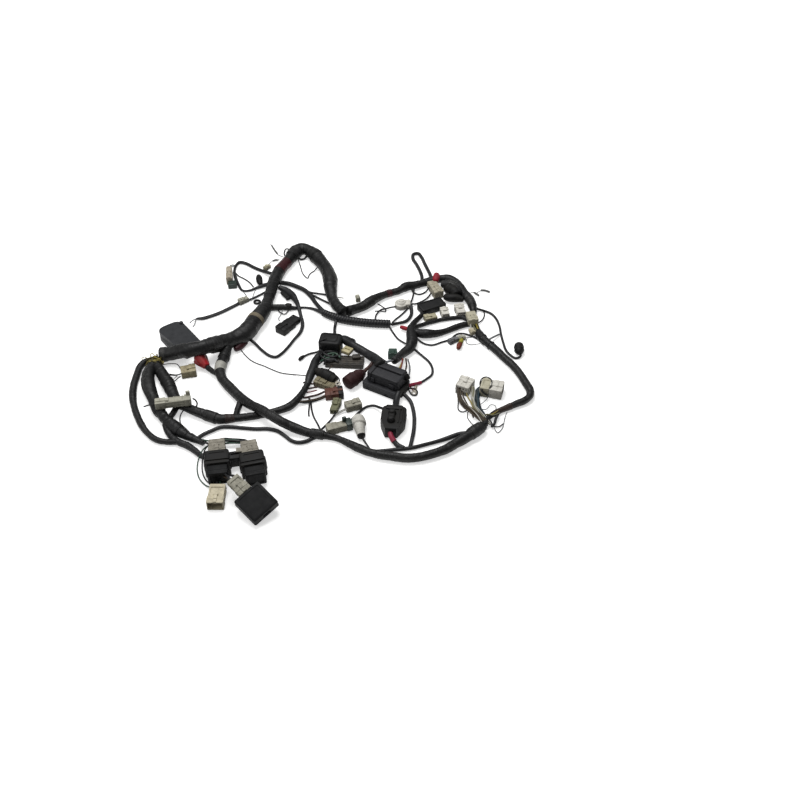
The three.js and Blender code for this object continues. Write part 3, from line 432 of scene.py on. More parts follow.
def between(material, factor, low, high, start, end):
    """A ramp on factor that gives start where factor is low, and end where it is high."""
    ramp = add_node(
        material,
        "ShaderNodeMapRange",
        {"Value": factor, "From Min": low, "From Max": high, "To Min": start, "To Max": end},
    )
    return ramp.outputs["Result"]


def maths(material, operation, *values, **settings):
    """What a Math node makes of the values, which are sockets or plain numbers."""
    node = add_node(material, "ShaderNodeMath", dict(enumerate(values)), operation=operation, **settings)
    return node.outputs[0]


def mixed(material, factor, first, second):
    """The colour first where factor is 0 and second where it is 1, both as hex values."""
    mix = add_node(
        material, "ShaderNodeMix", {"Factor": factor, 6: colour(first), 7: colour(second)}, data_type="RGBA"
    )
    return mix.outputs[2]


def vinyl_tape(name, dark, dusty, wrap_mm=9.5, gloss=0.36):
    """PVC harness tape, wound half over itself: satin, stretched into fine wrinkles, with dust in patches
    and a painted highlight along the edge of each turn. Its wrap coordinate runs along the bundle in metres
    and once round it."""
    unevenness, edge_share, edge_highlight_strength, edge_height = 2.6, 0.16, 0.55, 0.5
    material = new_material(name)
    wrap = add_node(material, "ShaderNodeUVMap", uv_map="wrap")
    parts = add_node(material, "ShaderNodeSeparateXYZ", {"Vector": wrap.outputs["UV"]})
    uneven = object_noise(material, 26, 2.0)
    start = maths(material, "MULTIPLY_ADD", uneven, unevenness, parts.outputs["X"])
    turns = maths(material, "MULTIPLY_ADD", parts.outputs["Y"], 1 / (wrap_mm * MM), start)
    edge = between(material, maths(material, "FRACT", turns), 0.0, edge_share, 1.0, 0.0)
    wrinkles = object_noise(material, 5, 6.0, 0.65)
    patches = object_noise(material, 34, 5.0, 0.6)
    scuffs = object_noise(material, 9, 8.0, 0.7)
    dust = between(material, patches, 0.42, 0.72, 0.0, 0.75)
    # The dusty colour is mixed in for the dust patches, and also as a painted highlight along the edge of
    # each turn
    dust_and_edge_highlight = maths(material, "MULTIPLY_ADD", edge, edge_highlight_strength, dust, use_clamp=True)
    base = mixed(material, maths(material, "MULTIPLY", dust_and_edge_highlight, scuffs), dark, dusty)
    rough = between(material, scuffs, 0.3, 0.7, gloss, gloss + 0.28)
    relief = maths(material, "MULTIPLY_ADD", edge, edge_height, wrinkles)
    return surface(
        material, base, rough, relief, bump_strength=0.6, bump_distance=0.0011, Specular_IOR_Level=0.3
    )


def moulded_rubber(name, dark, dusty, roughness=0.6):
    """Moulded EPDM rubber: matt, with a pale bloom and dust in patches."""
    material = new_material(name)
    bloom = object_noise(material, 14, 6.0, 0.65)
    grain = object_noise(material, 1.2, 3.0)
    base = mixed(material, between(material, bloom, 0.4, 0.72, 0.0, 0.85), dark, dusty)
    rough = between(material, bloom, 0.3, 0.7, roughness, roughness + 0.2)
    return surface(
        material, base, rough, grain, bump_strength=0.25, bump_distance=0.0004, Specular_IOR_Level=0.22
    )


def pvc_sleeve(name, dark, dusty, roughness=0.4):
    """Soft PVC sleeving: smooth satin with a fine grain, and a film of dust."""
    material = new_material(name)
    film = object_noise(material, 22, 5.0, 0.6)
    grain = object_noise(material, 3, 4.0)
    base = mixed(material, between(material, film, 0.4, 0.75, 0.0, 0.8), dark, dusty)
    rough = between(material, grain, 0.3, 0.7, roughness, roughness + 0.22)
    return surface(
        material, base, rough, grain, bump_strength=0.3, bump_distance=0.0005, Specular_IOR_Level=0.32
    )


def moulded_nylon(name, clean, grimy, soil=0.55, roughness=0.42, shine=0.35):
    """Moulded nylon: aged, with grime settled in blotches as far as soil says, and a fine moulded grain."""
    material = new_material(name)
    blotches = object_noise(material, 8, 7.0, 0.65)
    specks = object_noise(material, 1.6, 5.0, 0.7)
    grime = maths(material, "MULTIPLY", blotches, specks)
    base = mixed(material, between(material, grime, 0.17, 0.42, 0.0, soil), clean, grimy)
    rough = between(material, blotches, 0.3, 0.7, roughness, roughness + 0.25)
    return surface(
        material, base, rough, specks, bump_strength=0.2, bump_distance=0.0003, Specular_IOR_Level=shine
    )


def tinned_metal(name, clean, dull):
    """Stamped brass with a tin coat: soft grey gloss, dulled in patches by oxide."""
    material = new_material(name)
    oxide = object_noise(material, 3, 6.0, 0.65)
    base = mixed(material, between(material, oxide, 0.35, 0.7, 0.0, 0.9), clean, dull)
    rough = between(material, oxide, 0.3, 0.7, 0.28, 0.55)
    return surface(material, base, rough, oxide, bump_strength=0.15, bump_distance=0.0002, Metallic=0.9)


# Bundles and leads

# How far apart a tube's rings are: on bundles, on leads and thin wires, and on moulded round pieces
BUNDLE_SPACING = 1.1 * MM
LEAD_SPACING = 1.6 * MM
MOULDED_SPACING = 0.7 * MM
# How high a tube's lowest point lies over the bench, and how many points its curve has between two knots
BENCH_CLEARANCE = 0.1 * MM
CURVE_STEPS = 24


def blend(t, start, end, first, second):
    """The points at each t on the line that is at first at start, and at second at end."""
    return (end - t) / (end - start) * first + (t - start) / (end - start) * second


def through(route, spacing):
    """Points every spacing metres along one smooth curve through the route, each x, y, z, radius."""
    points = np.array(route, dtype=float)
    before = 2 * points[0] - points[1]
    after = 2 * points[-1] - points[-2]
    padded = np.vstack([before, points, after])
    steps = np.linalg.norm(np.diff(padded[:, :3], axis=0), axis=1)
    knots = np.concatenate([[0], np.cumsum(steps**0.5)])
    dense = []
    for i in range(1, len(padded) - 2):
        p, k = padded[i - 1 : i + 3], knots[i - 1 : i + 3]
        t = np.linspace(k[1], k[2], CURVE_STEPS, endpoint=i == len(padded) - 3)[:, None]
        a = [blend(t, k[j], k[j + 1], p[j], p[j + 1]) for j in range(3)]
        b = [blend(t, k[j], k[j + 2], a[j], a[j + 1]) for j in range(2)]
        dense.append(blend(t, k[1], k[2], b[0], b[1]))
    dense = np.vstack(dense)
    run = np.concatenate([[0], np.cumsum(np.linalg.norm(np.diff(dense[:, :3], axis=0), axis=1))])
    count = max(4, int(round(run[-1] / spacing)))
    places = np.linspace(0, run[-1], count + 1)
    return np.column_stack([np.interp(places, run, dense[:, i]) for i in range(4)]), places


def tape_wrapped(places, angles, radius, seed, wrap, lump, step=0.3 * MM, wrinkle=0.3 * MM):
    """Skin of a hand-taped bundle: lumps of wire under the tape, the uneven turns of tape, and wrinkles."""
    drift_length, drift_turns, tension_length = 0.021, 1.6, 0.013
    wide_length, mid_length, mid_share, wrinkle_length, wrinkle_slant = 0.024, 0.009, 0.45, 0.0042, 1.3
    along, around = np.meshgrid(places, angles, indexing="ij")
    drift = [noise.noise(Vector((seed, place / drift_length, 3.1))) for place in places]
    tension = [noise.noise(Vector((place / tension_length, seed, 7.7))) for place in places]
    turn = along / wrap + around / (2 * math.pi) + drift_turns * np.array(drift)[:, None]
    tightness = np.clip(0.35 + 1.9 * np.array(tension)[:, None], 0, 1.3)
    skin = step * tightness * (1 - turn % 1.0)
    for i, place in enumerate(places):
        for j, angle in enumerate(angles):
            round_point = Vector((math.cos(angle), math.sin(angle), 0))
            wide = noise.noise(round_point * 0.7 + Vector((seed, 0, place / wide_length)))
            mid = noise.noise(round_point * 1.5 + Vector((seed, seed, place / mid_length)))
            slanted = place / wrinkle_length + wrinkle_slant * angle
            fine = noise.noise(round_point * 2.6 + Vector((0, seed, slanted)))
            skin[i, j] += radius[i] * lump * (wide + mid_share * mid) + wrinkle * fine
    return skin


def smooth_sleeve(places, angles, radius, seed):
    """Skin of soft sleeving: nearly round, with slow changes in width."""
    unevenness, length_of_change = 0.06, 0.018
    skin = np.zeros((len(places), len(angles)))
    for i, place in enumerate(places):
        for j, angle in enumerate(angles):
            round_point = Vector((math.cos(angle), math.sin(angle), 0))
            change = noise.noise(round_point * 0.8 + Vector((seed, 0, place / length_of_change)))
            skin[i, j] = radius[i] * unevenness * change
    return skin


def corrugated(places, angles, radius, seed, pitch=4.6 * MM, depth=0.75 * MM, stand=0.7 * MM):
    """Skin of corrugated conduit: round crests that stand proud of its radius, and narrow grooves."""
    groove = depth * np.abs(np.sin(math.pi * places / pitch)) ** 0.6 - depth + stand
    return np.repeat(groove[:, None], len(angles), axis=1)


def tube(
    name, route, skin, material, slot, sides, spacing=BUNDLE_SPACING, seed=0.0, stands_for=(),
    ends=3.5,
):
    """A closed tube along a route, with its skin's relief, and wrap coordinates for its finish. Its ends
    round off within a radius divided by ends."""
    line, places = through(route, spacing)
    centres, radius = line[:, :3], line[:, 3]
    angles = np.arange(sides) * 2 * math.pi / sides
    tangents = np.gradient(centres, axis=0)
    tangents /= np.linalg.norm(tangents, axis=1)[:, None]
    level = np.cross(tangents, (0, 0, 1.0))
    level /= np.linalg.norm(level, axis=1)[:, None]
    upward = np.cross(level, tangents)
    relief = skin(places, angles, radius, seed)
    least_radius, least_share = 1e-5, 0.05
    rounding = np.minimum(places, places[-1] - places) / np.maximum(radius, least_radius)
    rounding = np.sqrt(np.clip(1 - (1 - np.clip(rounding * ends, 0, 1)) ** 2, least_share, 1))
    reach = (radius[:, None] + relief) * rounding[:, None]
    rings = (
        centres[:, None, :]
        + reach[:, :, None] * np.cos(angles)[None, :, None] * level[:, None, :]
        + reach[:, :, None] * np.sin(angles)[None, :, None] * upward[:, None, :]
    )
    rings[:, :, 2] = np.maximum(rings[:, :, 2], BENCH_CLEARANCE)
    count = len(places)
    vertices = rings.reshape(-1, 3).tolist() + [centres[0].tolist(), centres[-1].tolist()]
    faces, wraps = [], []
    for i in range(count - 1):
        for j in range(sides):
            k = (j + 1) % sides
            faces.append((i * sides + j, (i + 1) * sides + j, (i + 1) * sides + k, i * sides + k))
            low, high = j / sides, (j + 1) / sides
            wraps += [(low, places[i]), (low, places[i + 1]), (high, places[i + 1]), (high, places[i])]
    first, last = count * sides, count * sides + 1
    for j in range(sides):
        k = (j + 1) % sides
        faces.append((first, j, k))
        faces.append((last, (count - 1) * sides + k, (count - 1) * sides + j))
        wraps += [(0.5, places[0])] * 3 + [(0.5, places[-1])] * 3
    mesh = bpy.data.meshes.new(name)
    mesh.from_pydata(vertices, [], faces)
    layer = mesh.uv_layers.new(name="wrap")
    layer.data.foreach_set("uv", np.array(wraps, dtype=float).ravel())
    mesh.polygons.foreach_set("use_smooth", [True] * len(mesh.polygons))
    mesh.update()
    piece = bpy.data.objects.new(name, mesh)
    bpy.context.collection.objects.link(piece)
    finish_piece(piece, name, material, slot, *stands_for)
    return piece


# Finishes


HARNESS_TAPE = vinyl_tape("black_pvc_harness_tape", "060607", "2d2d2c")
NARROW_TAPE = vinyl_tape("black_pvc_tape_on_a_thin_branch", "070708", "2b2b2b", wrap_mm=7)
GREY_BLACK_TAPE = vinyl_tape("worn_black_pvc_tape", "141416", "45443f")
BROWN_TAPE = vinyl_tape("brown_black_pvc_tape", "241816", "4d4038", wrap_mm=7)
SILVER_TAPE = vinyl_tape("silver_grey_tape", "8f8e87", "cac8bf", wrap_mm=6, gloss=0.3)
RED_TAPE = vinyl_tape("dark_red_pvc_tape", "30090f", "451f24", wrap_mm=8)
BEIGE_TAPE = vinyl_tape("beige_cloth_tape", "5f5748", "a59c89", wrap_mm=8, gloss=0.6)
BLACK_SLEEVE = pvc_sleeve("black_pvc_sleeve", "0c0c0e", "333436")
GREY_SLEEVE = pvc_sleeve("grey_pvc_sleeve", "131416", "3a3b3d")
CONDUIT_PLASTIC = pvc_sleeve("black_polypropylene_conduit", "060608", "1c1c21", 0.32)
BLACK_WIRE = pvc_sleeve("black_pvc_wire", "0a0a0c", "2c2d2f", 0.35)
GREY_WIRE = pvc_sleeve("grey_pvc_wire", "6a6c6e", "8c8d8c", 0.4)
BLUE_GREY_WIRE = pvc_sleeve("blue_grey_pvc_wire", "39485c", "6d7884", 0.4)
BROWN_WIRE = pvc_sleeve("brown_pvc_wire", "31251a", "544a3a", 0.45)
RED_WIRE = pvc_sleeve("red_pvc_wire", "6b2226", "84504d", 0.4)
YELLOW_WIRE = pvc_sleeve("yellow_pvc_wire", "8c7d2c", "8f8868", 0.45)
GREEN_WIRE = pvc_sleeve("green_pvc_wire", "274234", "5a6a5e", 0.4)
WHITE_WIRE = pvc_sleeve("white_pvc_wire", "b4b2ab", "8d8a82", 0.45)
PINK_SHRINK = pvc_sleeve("pink_heat_shrink", "8a1f3a", "7a3c48", 0.4)
TIE_WIRE = pvc_sleeve("olive_tie_wire", "3b3410", "6b6130", 0.45)
GREY_SLEEVE_PALE = pvc_sleeve("pale_grey_sleeve", "4a4b4a", "737370", 0.45)
TINNED_BRASS = tinned_metal("tinned_brass", "b7b2a6", "6d675c")
IVORY_NYLON = moulded_nylon("ivory_nylon", "c3baa0", "6f695a")
WHITE_NYLON = moulded_nylon("natural_nylon", "d2cfc6", "7b7870")
YELLOWED_NYLON = moulded_nylon("yellowed_nylon", "b3a983", "625c49")
GREY_NYLON = moulded_nylon("dusty_grey_nylon", "9b9889", "605e55", 0.8)
PALE_GREY_NYLON = moulded_nylon("pale_grey_nylon", "a5a394", "6c6a5f", 0.7)
DUSTY_PLUG_NYLON = moulded_nylon("dusty_plug_nylon", "8d887c", "57534b", 0.85, 0.6)
BULB_NYLON = moulded_nylon("bulb_holder_nylon", "c9c7bf", "6f6d66", 0.7)
RELAY_PLASTIC = moulded_nylon("relay_can_plastic", "090a0b", "1a1a1c", 0.6, 0.42, shine=0.14)
IGNITER_PLASTIC = moulded_nylon("igniter_box_plastic", "1f2023", "393b3e", 0.6, 0.38, shine=0.28)
YELLOW_GREEN_NYLON = moulded_nylon("yellow_green_nylon", "aba58b", "6d6856", 0.7)
MOTTLED_NYLON = moulded_nylon("mottled_beige_green_nylon", "7d755c", "45402f", 0.9)
BLUE_GREY_NYLON = moulded_nylon("blue_grey_nylon", "6b6c6e", "44454a", 0.7)
RED_BROWN_SLEEVE = pvc_sleeve("red_brown_pvc_sleeve", "301c18", "54403a")
OLIVE_NYLON = moulded_nylon("olive_nylon", "6c6c4e", "45463a", 0.8)
GREEN_NYLON = moulded_nylon("dark_green_nylon", "2d473c", "1c2824", 0.8)
BROWN_NYLON = moulded_nylon("brown_nylon", "5d3325", "2f1d18", 0.8)
BLACK_NYLON = moulded_nylon("black_nylon", "0b0c0e", "282726", 0.7, 0.42, shine=0.22)
BOX_PLASTIC = moulded_nylon("dusty_polypropylene_box", "18181c", "3b3b3e", 0.8, 0.45, shine=0.22)
BLACK_RUBBER = moulded_rubber("black_epdm_rubber", "070708", "211f1c", 0.5)
CRIMSON_RUBBER = moulded_rubber("crimson_rubber", "8c1626", "7b343b", 0.45)
YELLOW_RUBBER = moulded_rubber("yellow_rubber", "9a9330", "77703a", 0.45)
RUST_RUBBER = moulded_rubber("rust_red_rubber", "6b2a1c", "55392c", 0.45)
RED_SHRINK = moulded_rubber("red_heat_shrink", "a11f27", "8f5a54", 0.35)
RED_RUBBER = moulded_rubber("red_brown_rubber", "2a1214", "45302e")
FADED_NYLON = moulded_nylon("faded_beige_nylon", "aaa18f", "6d6157", 0.8)
DUSTY_BEIGE_NYLON = moulded_nylon("dusty_beige_nylon", "a8a28f", "6b6456", 0.7)
MOTTLED_BROWN_NYLON = moulded_nylon("mottled_brown_nylon", "a39a7c", "60533a", 0.95)
PALE_OLIVE_NYLON = moulded_nylon("pale_olive_nylon", "b3ae99", "706b59", 0.6)
GREEN_BLACK_NYLON = moulded_nylon("green_black_nylon", "1d2a25", "3a4540", 0.6, 0.32)
SMOKED_NYLON = moulded_nylon("smoked_nylon_tray", "1d1b18", "544e45", 0.9, 0.45)
BROWN_SLEEVE = pvc_sleeve("brown_pvc_bundle", "231b12", "4a402f", 0.5)
PALE_SLEEVE = pvc_sleeve("pale_green_pvc_bundle", "6e6c55", "8b8973", 0.5)
TEAL_SLEEVE = pvc_sleeve("teal_pvc_bundle", "11191c", "2c3638", 0.45)
TEAL_WIRE = pvc_sleeve("teal_pvc_wire", "1a313c", "3c4a50", 0.45)
CRIMSON_TAPE = vinyl_tape("crimson_pvc_tape", "2e070f", "43202a", wrap_mm=8)


# Camera, floor and light


def make_camera():
    camera_data = bpy.data.cameras.new("photo_camera")
    camera_data.lens = LENS_MM
    camera_data.sensor_width = SENSOR_MM
    camera = bpy.data.objects.new("photo_camera", camera_data)
    back = Vector((0, -math.cos(VIEW_ELEVATION), math.sin(VIEW_ELEVATION)))
    camera.location = VIEW_TARGET + VIEW_DISTANCE * back
    camera.rotation_euler = (math.pi / 2 - VIEW_ELEVATION, 0, 0)
    bpy.context.collection.objects.link(camera)
    bpy.context.scene.camera = camera


def make_floor():
    """A plain pale bench; to the camera it shines like the white card of a product photograph."""
    size, depth, matt, card_glow = 8, 0.0004, 0.9, 0.5
    deselect()
    bpy.ops.mesh.primitive_plane_add(size=size, location=(0, 0, -depth))
    floor = bpy.context.active_object
    floor.name = "pale_floor"
    material = new_material("white_laminate_bench")
    shade = add_node(material, "ShaderNodeBsdfDiffuse", {"Color": colour("f4f4f3"), "Roughness": matt})
    dim = add_node(material, "ShaderNodeBsdfDiffuse", {"Color": colour("565656"), "Roughness": matt})
    glow = add_node(material, "ShaderNodeEmission", {"Color": (1, 1, 1, 1), "Strength": card_glow})
    both = add_node(material, "ShaderNodeAddShader", {0: shade.outputs[0], 1: glow.outputs[0]})
    rays = add_node(material, "ShaderNodeLightPath")
    seen = maths(material, "MAXIMUM", rays.outputs["Is Camera Ray"], rays.outputs["Is Glossy Ray"])
    choice = add_node(material, "ShaderNodeMixShader", {0: seen, 1: dim.outputs[0], 2: both.outputs[0]})
    add_node(material, "ShaderNodeOutputMaterial", {"Surface": choice.outputs[0]})
    floor.data.materials.append(material)


def make_lamp(name, place, size, power):
    lamp_data = bpy.data.lights.new(name, "AREA")
    lamp_data.size = size
    lamp_data.energy = power
    lamp = bpy.data.objects.new(name, lamp_data)
    lamp.location = place
    lamp.rotation_euler = (-Vector(place)).to_track_quat("-Z", "Y").to_euler()
    bpy.context.collection.objects.link(lamp)


def make_light():
    """Two soft lamps in a white room; the camera sees the room fully white, although it lights less."""
    room_light = 0.26
    make_lamp("soft_overhead", place=(-0.2, 0.45, 1.7), size=1.1, power=30)
    make_lamp("soft_left", place=(-1.5, -0.6, 1.1), size=1.1, power=8)
    world = bpy.data.worlds.new("studio")
    world.use_nodes = True
    background = world.node_tree.nodes["Background"]
    background.inputs["Color"].default_value = (1, 1, 1, 1)
    rays = add_node(world, "ShaderNodeLightPath")
    strength = maths(world, "MULTIPLY_ADD", rays.outputs["Is Camera Ray"], 1 - room_light, room_light)
    world.node_tree.links.new(strength, background.inputs["Strength"])
    bpy.context.scene.world = world
    bpy.context.scene.view_settings.view_transform = "Standard"


make_camera()
make_floor()
make_light()


# The taped bundles and the leads, in the order of the loom


# How each bundle is taped, for the bands that are wound round it later
TAPING = {}


def bundle(name, route, seed, stands_for=(), wrap=9.5 * MM, lump=0.07, tape=HARNESS_TAPE):
    """A taped bundle, with turns of tape wrap wide; lump is how far its wires stand out, in radii."""

    def skin(places, angles, radius, seed):
        return tape_wrapped(places, angles, radius, seed, wrap, lump)

    TAPING[name] = (route, skin, seed)
    tube(name, route, skin, tape, "vinyl_tape", 26, seed=seed, stands_for=stands_for)


def lead(name, route, seed, stands_for=(), finish=BLACK_SLEEVE):
    """A smaller lead in soft sleeving."""
    TAPING[name] = (route, smooth_sleeve, seed)
    tube(name, route, smooth_sleeve, finish, "sleeving", 16, LEAD_SPACING, seed, stands_for)


bundle("rear_trunk_tape", REAR_TRUNK, 1.3, ["rear_trunk"], wrap=11 * MM, lump=0.12)
bundle("front_trunk_tape", FRONT_TRUNK, 2.1, ["front_trunk"], lump=0.1)
bundle("right_trunk_tape", RIGHT_TRUNK, 3.7, ["right_trunk"], lump=0.09)
bundle("lower_trunk_tape", LOWER_TRUNK, 4.2, ["lower_trunk"], lump=0.09)
bundle("red_branch_tape", RED_BRANCH, 5.9, tape=NARROW_TAPE, wrap=7 * MM)
bundle("middle_bundle_tape", MIDDLE_BUNDLE, 6.4, ["middle_bundle"], lump=0.1)
bundle("drop_link_tape", DROP_LINK, 7.7, tape=NARROW_TAPE, wrap=7 * MM)
bundle("cross_link_tape", CROSS_LINK, 8.8, tape=NARROW_TAPE, wrap=7 * MM)
bundle("outer_left_tape", OUTER_LEFT, 9.1, ["outer_left_lead"], tape=NARROW_TAPE, wrap=8 * MM)
bundle("inner_left_tape", INNER_LEFT, 10.6, ["inner_left_bundle"], lump=0.1)
bundle("relay_lead_tape", RELAY_LEAD, 11.9, tape=NARROW_TAPE, wrap=8 * MM)
bundle("fuse_branch_tape", FUSE_BRANCH, 12.3, ["junction_branches"], tape=NARROW_TAPE, wrap=8 * MM)
bundle("right_branch_1_tape", RIGHT_LEAD_1, 13.2, tape=NARROW_TAPE, wrap=7 * MM)
bundle("right_branch_2_tape", RIGHT_LEAD_2, 14.9, tape=NARROW_TAPE, wrap=7 * MM)
bundle("right_branch_3_tape", RIGHT_LEAD_3, 15.1, tape=NARROW_TAPE, wrap=7 * MM)
lead("block_sleeve_skin", BLOCK_SLEEVE, 16.2, ["block_sleeve"])
lead("block_to_fuse_sleeve", BLOCK_TO_FUSE, 17.8, ["block_to_fuse_bundle"])
lead("front_link_sleeve", FRONT_LINK, 18.4, ["front_link_lead"])
lead("parallel_sleeve", PARALLEL_LEAD, 19.5, ["parallel_lead"])
lead("starter_tail_sleeve", SOLENOID_TAIL, 20.7)
lead("side_sleeve", SIDE_LEAD, 21.6, ["side_lead"], finish=GREY_SLEEVE)
lead("horizontal_sleeve", HORIZONTAL_LEAD, 22.3, ["horizontal_lead"])
lead("upper_sleeve", UPPER_LEAD, 23.8, ["upper_lead"])
lead("loop_sleeve", LOOP_LEAD, 24.1, ["loop_lead"])
lead("ring_sleeve", RING_LEAD, 25.3, ["ring_lead"])
lead("long_left_sleeve", LONG_LEFT_LEAD, 26.9, ["long_left_lead"], finish=GREY_SLEEVE)
lead("hairpin_sleeve", HAIRPIN_LEAD, 27.2, ["hairpin_lead"])
lead("far_right_sleeve", FAR_RIGHT_LEAD, 28.8, ["far_right_lead"])
lead("battery_sleeve", BATTERY_LEAD, 29.4, ["battery_lead"], finish=GREY_SLEEVE)
lead("conduit_tail_sleeve", CONDUIT_LEAD, 30.7, ["conduit_lead"])
lead("starter_cable", SOLENOID_CABLE, 31.5, ["starter_relay_lead"])
lead("white_pair_left_sleeve", WA_LEAD_LEFT, 32.6, ["white_connector_leads"], finish=BROWN_SLEEVE)
lead("white_pair_middle_sleeve", WA_LEAD_RIGHT, 33.1, finish=PALE_SLEEVE)
lead("white_pair_right_sleeve", WB_LEAD, 34.8, finish=TEAL_SLEEVE)
tube(
    "ribbed_conduit",
    CONDUIT,
    corrugated,
    CONDUIT_PLASTIC,
    "convoluted_tube",
    sides=28,
    spacing=0.35 * MM,
    stands_for=["corrugated_conduit"],
)


# Moulded pieces: each is modelled in millimetres round the origin, and then set down in its place


def in_planes(axis, places):
    """A test for edges that lie in one of the planes across an axis, at places in millimetres."""
    tolerance = 1e-3
    return lambda a, b: any(abs(a[axis] - p) < tolerance and abs(b[axis] - p) < tolerance for p in places)


def round_edges(piece, offset, steps, test):
    """Bevels the edges whose two ends, in millimetres, pass the test."""
    select_only(piece)
    bpy.context.tool_settings.mesh_select_mode = (False, True, False)
    corners = [vertex.co / MM for vertex in piece.data.vertices]
    for polygon in piece.data.polygons:
        polygon.select = False
    for edge in piece.data.edges:
        edge.select = bool(test(*(corners[i] for i in edge.vertices)))
    bpy.ops.object.mode_set(mode="EDIT")
    bpy.ops.mesh.bevel(offset=offset * MM, segments=steps, affect="EDGES")
    bpy.ops.object.mode_set(mode="OBJECT")
    return piece


def slab(width, length, height, at=(0, 0, 0), corner=1.0, edge=0.5, steps=2):
    """A moulded block that stands on the point at, with rounded corners and softened rims."""
    deselect()
    x, y, z = at
    corner = min(corner, 0.42 * min(width, length))
    edge = min(edge, 0.42 * height, 0.8 * corner if corner else edge)
    bpy.ops.mesh.primitive_cube_add(size=1, location=(x * MM, y * MM, (z + height / 2) * MM))
    piece = bpy.context.active_object
    piece.scale = (width * MM, length * MM, height * MM)
    bpy.ops.object.transform_apply(location=True, rotation=True, scale=True)
    if corner:
        round_edges(piece, corner, steps + 1, lambda a, b: abs(a.z - b.z) > 0.5 * height)
    if edge:
        round_edges(piece, edge, steps, in_planes(2, (z, z + height)))
    return piece


def detail(width, length, height, at, corner=0.2, edge=0.2):
    """A small block on a housing, or a small cutter: its edges are rounded in one step."""
    return slab(width, length, height, at, corner, edge, steps=1)


def rod(radius, length, at=(0, 0, 0), along="y", rim=0.0, sides=20, far_radius=None):
    """A round bar or cone centred on the point at; rim rounds off its ends."""
    deselect()
    turns = {"x": (0, math.pi / 2, 0), "y": (math.pi / 2, 0, 0), "z": (0, 0, 0)}
    bpy.ops.mesh.primitive_cone_add(
        vertices=sides,
        radius1=radius * MM,
        radius2=(radius if far_radius is None else far_radius) * MM,
        depth=length * MM,
        location=[c * MM for c in at],
        rotation=turns[along],
    )
    piece = bpy.context.active_object
    bpy.ops.object.transform_apply(location=True, rotation=True, scale=True)
    if rim:
        axis = "xyz".index(along)
        round_edges(piece, rim, 3, in_planes(axis, (at[axis] - length / 2, at[axis] + length / 2)))
    return piece


def combine(piece, tools, operation):
    for tool in tools:
        modifier = piece.modifiers.new("shape", "BOOLEAN")
        modifier.operation = operation
        modifier.object = tool
        select_only(piece)
        bpy.ops.object.modifier_apply(modifier="shape")
        bpy.data.objects.remove(tool)
    return piece


def fuse(piece, *others):
    return combine(piece, others, "UNION")


def cut(piece, *tools):
    return combine(piece, tools, "DIFFERENCE")


def together(pieces):
    """Joins pieces that don't touch into one object, so that one cut takes them all."""
    select_only(*pieces)
    bpy.ops.object.join()
    return bpy.context.active_object


def frame_of(width, length, height, wall, at=(0, 0, 0)):
    """A square ring lying in the x-z plane, length along y: cuts a groove all round a block."""
    x, y, z = at
    margin = 4
    outer = slab(width + 2 * margin, length, height + 2 * margin, at=(x, y, z - margin), corner=0, edge=0)
    inner_size = (width - 2 * wall, length + margin, height - 2 * wall)
    return cut(outer, slab(*inner_size, at=(x, y, z + wall), corner=1, edge=1))


def set_down(piece, place, turn=0, tilt=0):
    """Turns a piece about the vertical, tilts it about the x axis, and sets it in its place."""
    piece.matrix_world = (
        Matrix.Translation(Vector(place) * MM)
        @ Matrix.Rotation(math.radians(tilt), 4, "X")
        @ Matrix.Rotation(math.radians(turn), 4, "Z")
    )
    select_only(piece)
    bpy.ops.object.transform_apply(location=True, rotation=True, scale=True)
    return piece


def moulding(piece, name, finish, slot, place, turn=0, tilt=0, stands_for=()):
    """Sets a moulded piece down in its place, smooths it and gives it its name and finish; slot is not
    used.
    """
    set_down(piece, place, turn, tilt)
    smooth(piece)
    return finish_piece(piece, name, finish, slot, *stands_for)


def thin_tube(name, route, finish, sides=10, seed=0.0):
    """A thin wire along a route in metres."""
    return tube(name, route, smooth_sleeve, finish, "sleeving", sides, LEAD_SPACING, seed=seed)


def wire(name, points, radius, finish):
    """A thin wire of one radius through points, both in millimetres."""
    return thin_tube(name, in_metres([(*point, radius) for point in points]), finish, seed=len(name))


def band(name, bundle_name, start, end, finish, thickness):
    """A length of tape or sleeve round a bundle, from start to end along it; all in millimetres."""
    route, skin, seed = TAPING[bundle_name]
    line, places = through(route, BUNDLE_SPACING)
    inside = (places >= start * MM) & (places <= end * MM)
    around = line[inside]
    first = places[inside][0]

    def wound(places, angles, radius, seed):
        edge_curl = 0.12 * MM * np.sin(5 * angles)[None, :]
        return skin(places + first, angles, radius, seed) + thickness * MM + edge_curl

    tube(name, around, wound, finish, "vinyl_tape", sides=26, spacing=0.8 * MM, seed=seed, ends=40)


def strands(name, route, count, radius, finishes, outside=0.0):
    """Several thin wires that run side by side along a route and cross over each other on the way; with
    outside, they lie that many millimetres further out, round a core. Radius is in millimetres too."""
    twist_per_point, least_spread = 0.5, 0.2 * MM
    for number in range(count):
        points = []
        for i, (x, y, z, reach) in enumerate(route):
            angle = 2 * math.pi * number / count + twist_per_point * i + number
            spread = max(reach + (outside - radius) * MM, least_spread)
            before, after = route[max(i - 1, 0)], route[min(i + 1, len(route) - 1)]
            ahead = Vector((after[0] - before[0], after[1] - before[1], 0)).normalized()
            side = spread * math.cos(angle)
            height = max(z + spread * math.sin(angle), radius * MM)
            points.append((x - ahead.y * side, y + ahead.x * side, height, radius * MM))
        thin_tube(name + "_" + str(number + 1), points, finishes[number % len(finishes)])


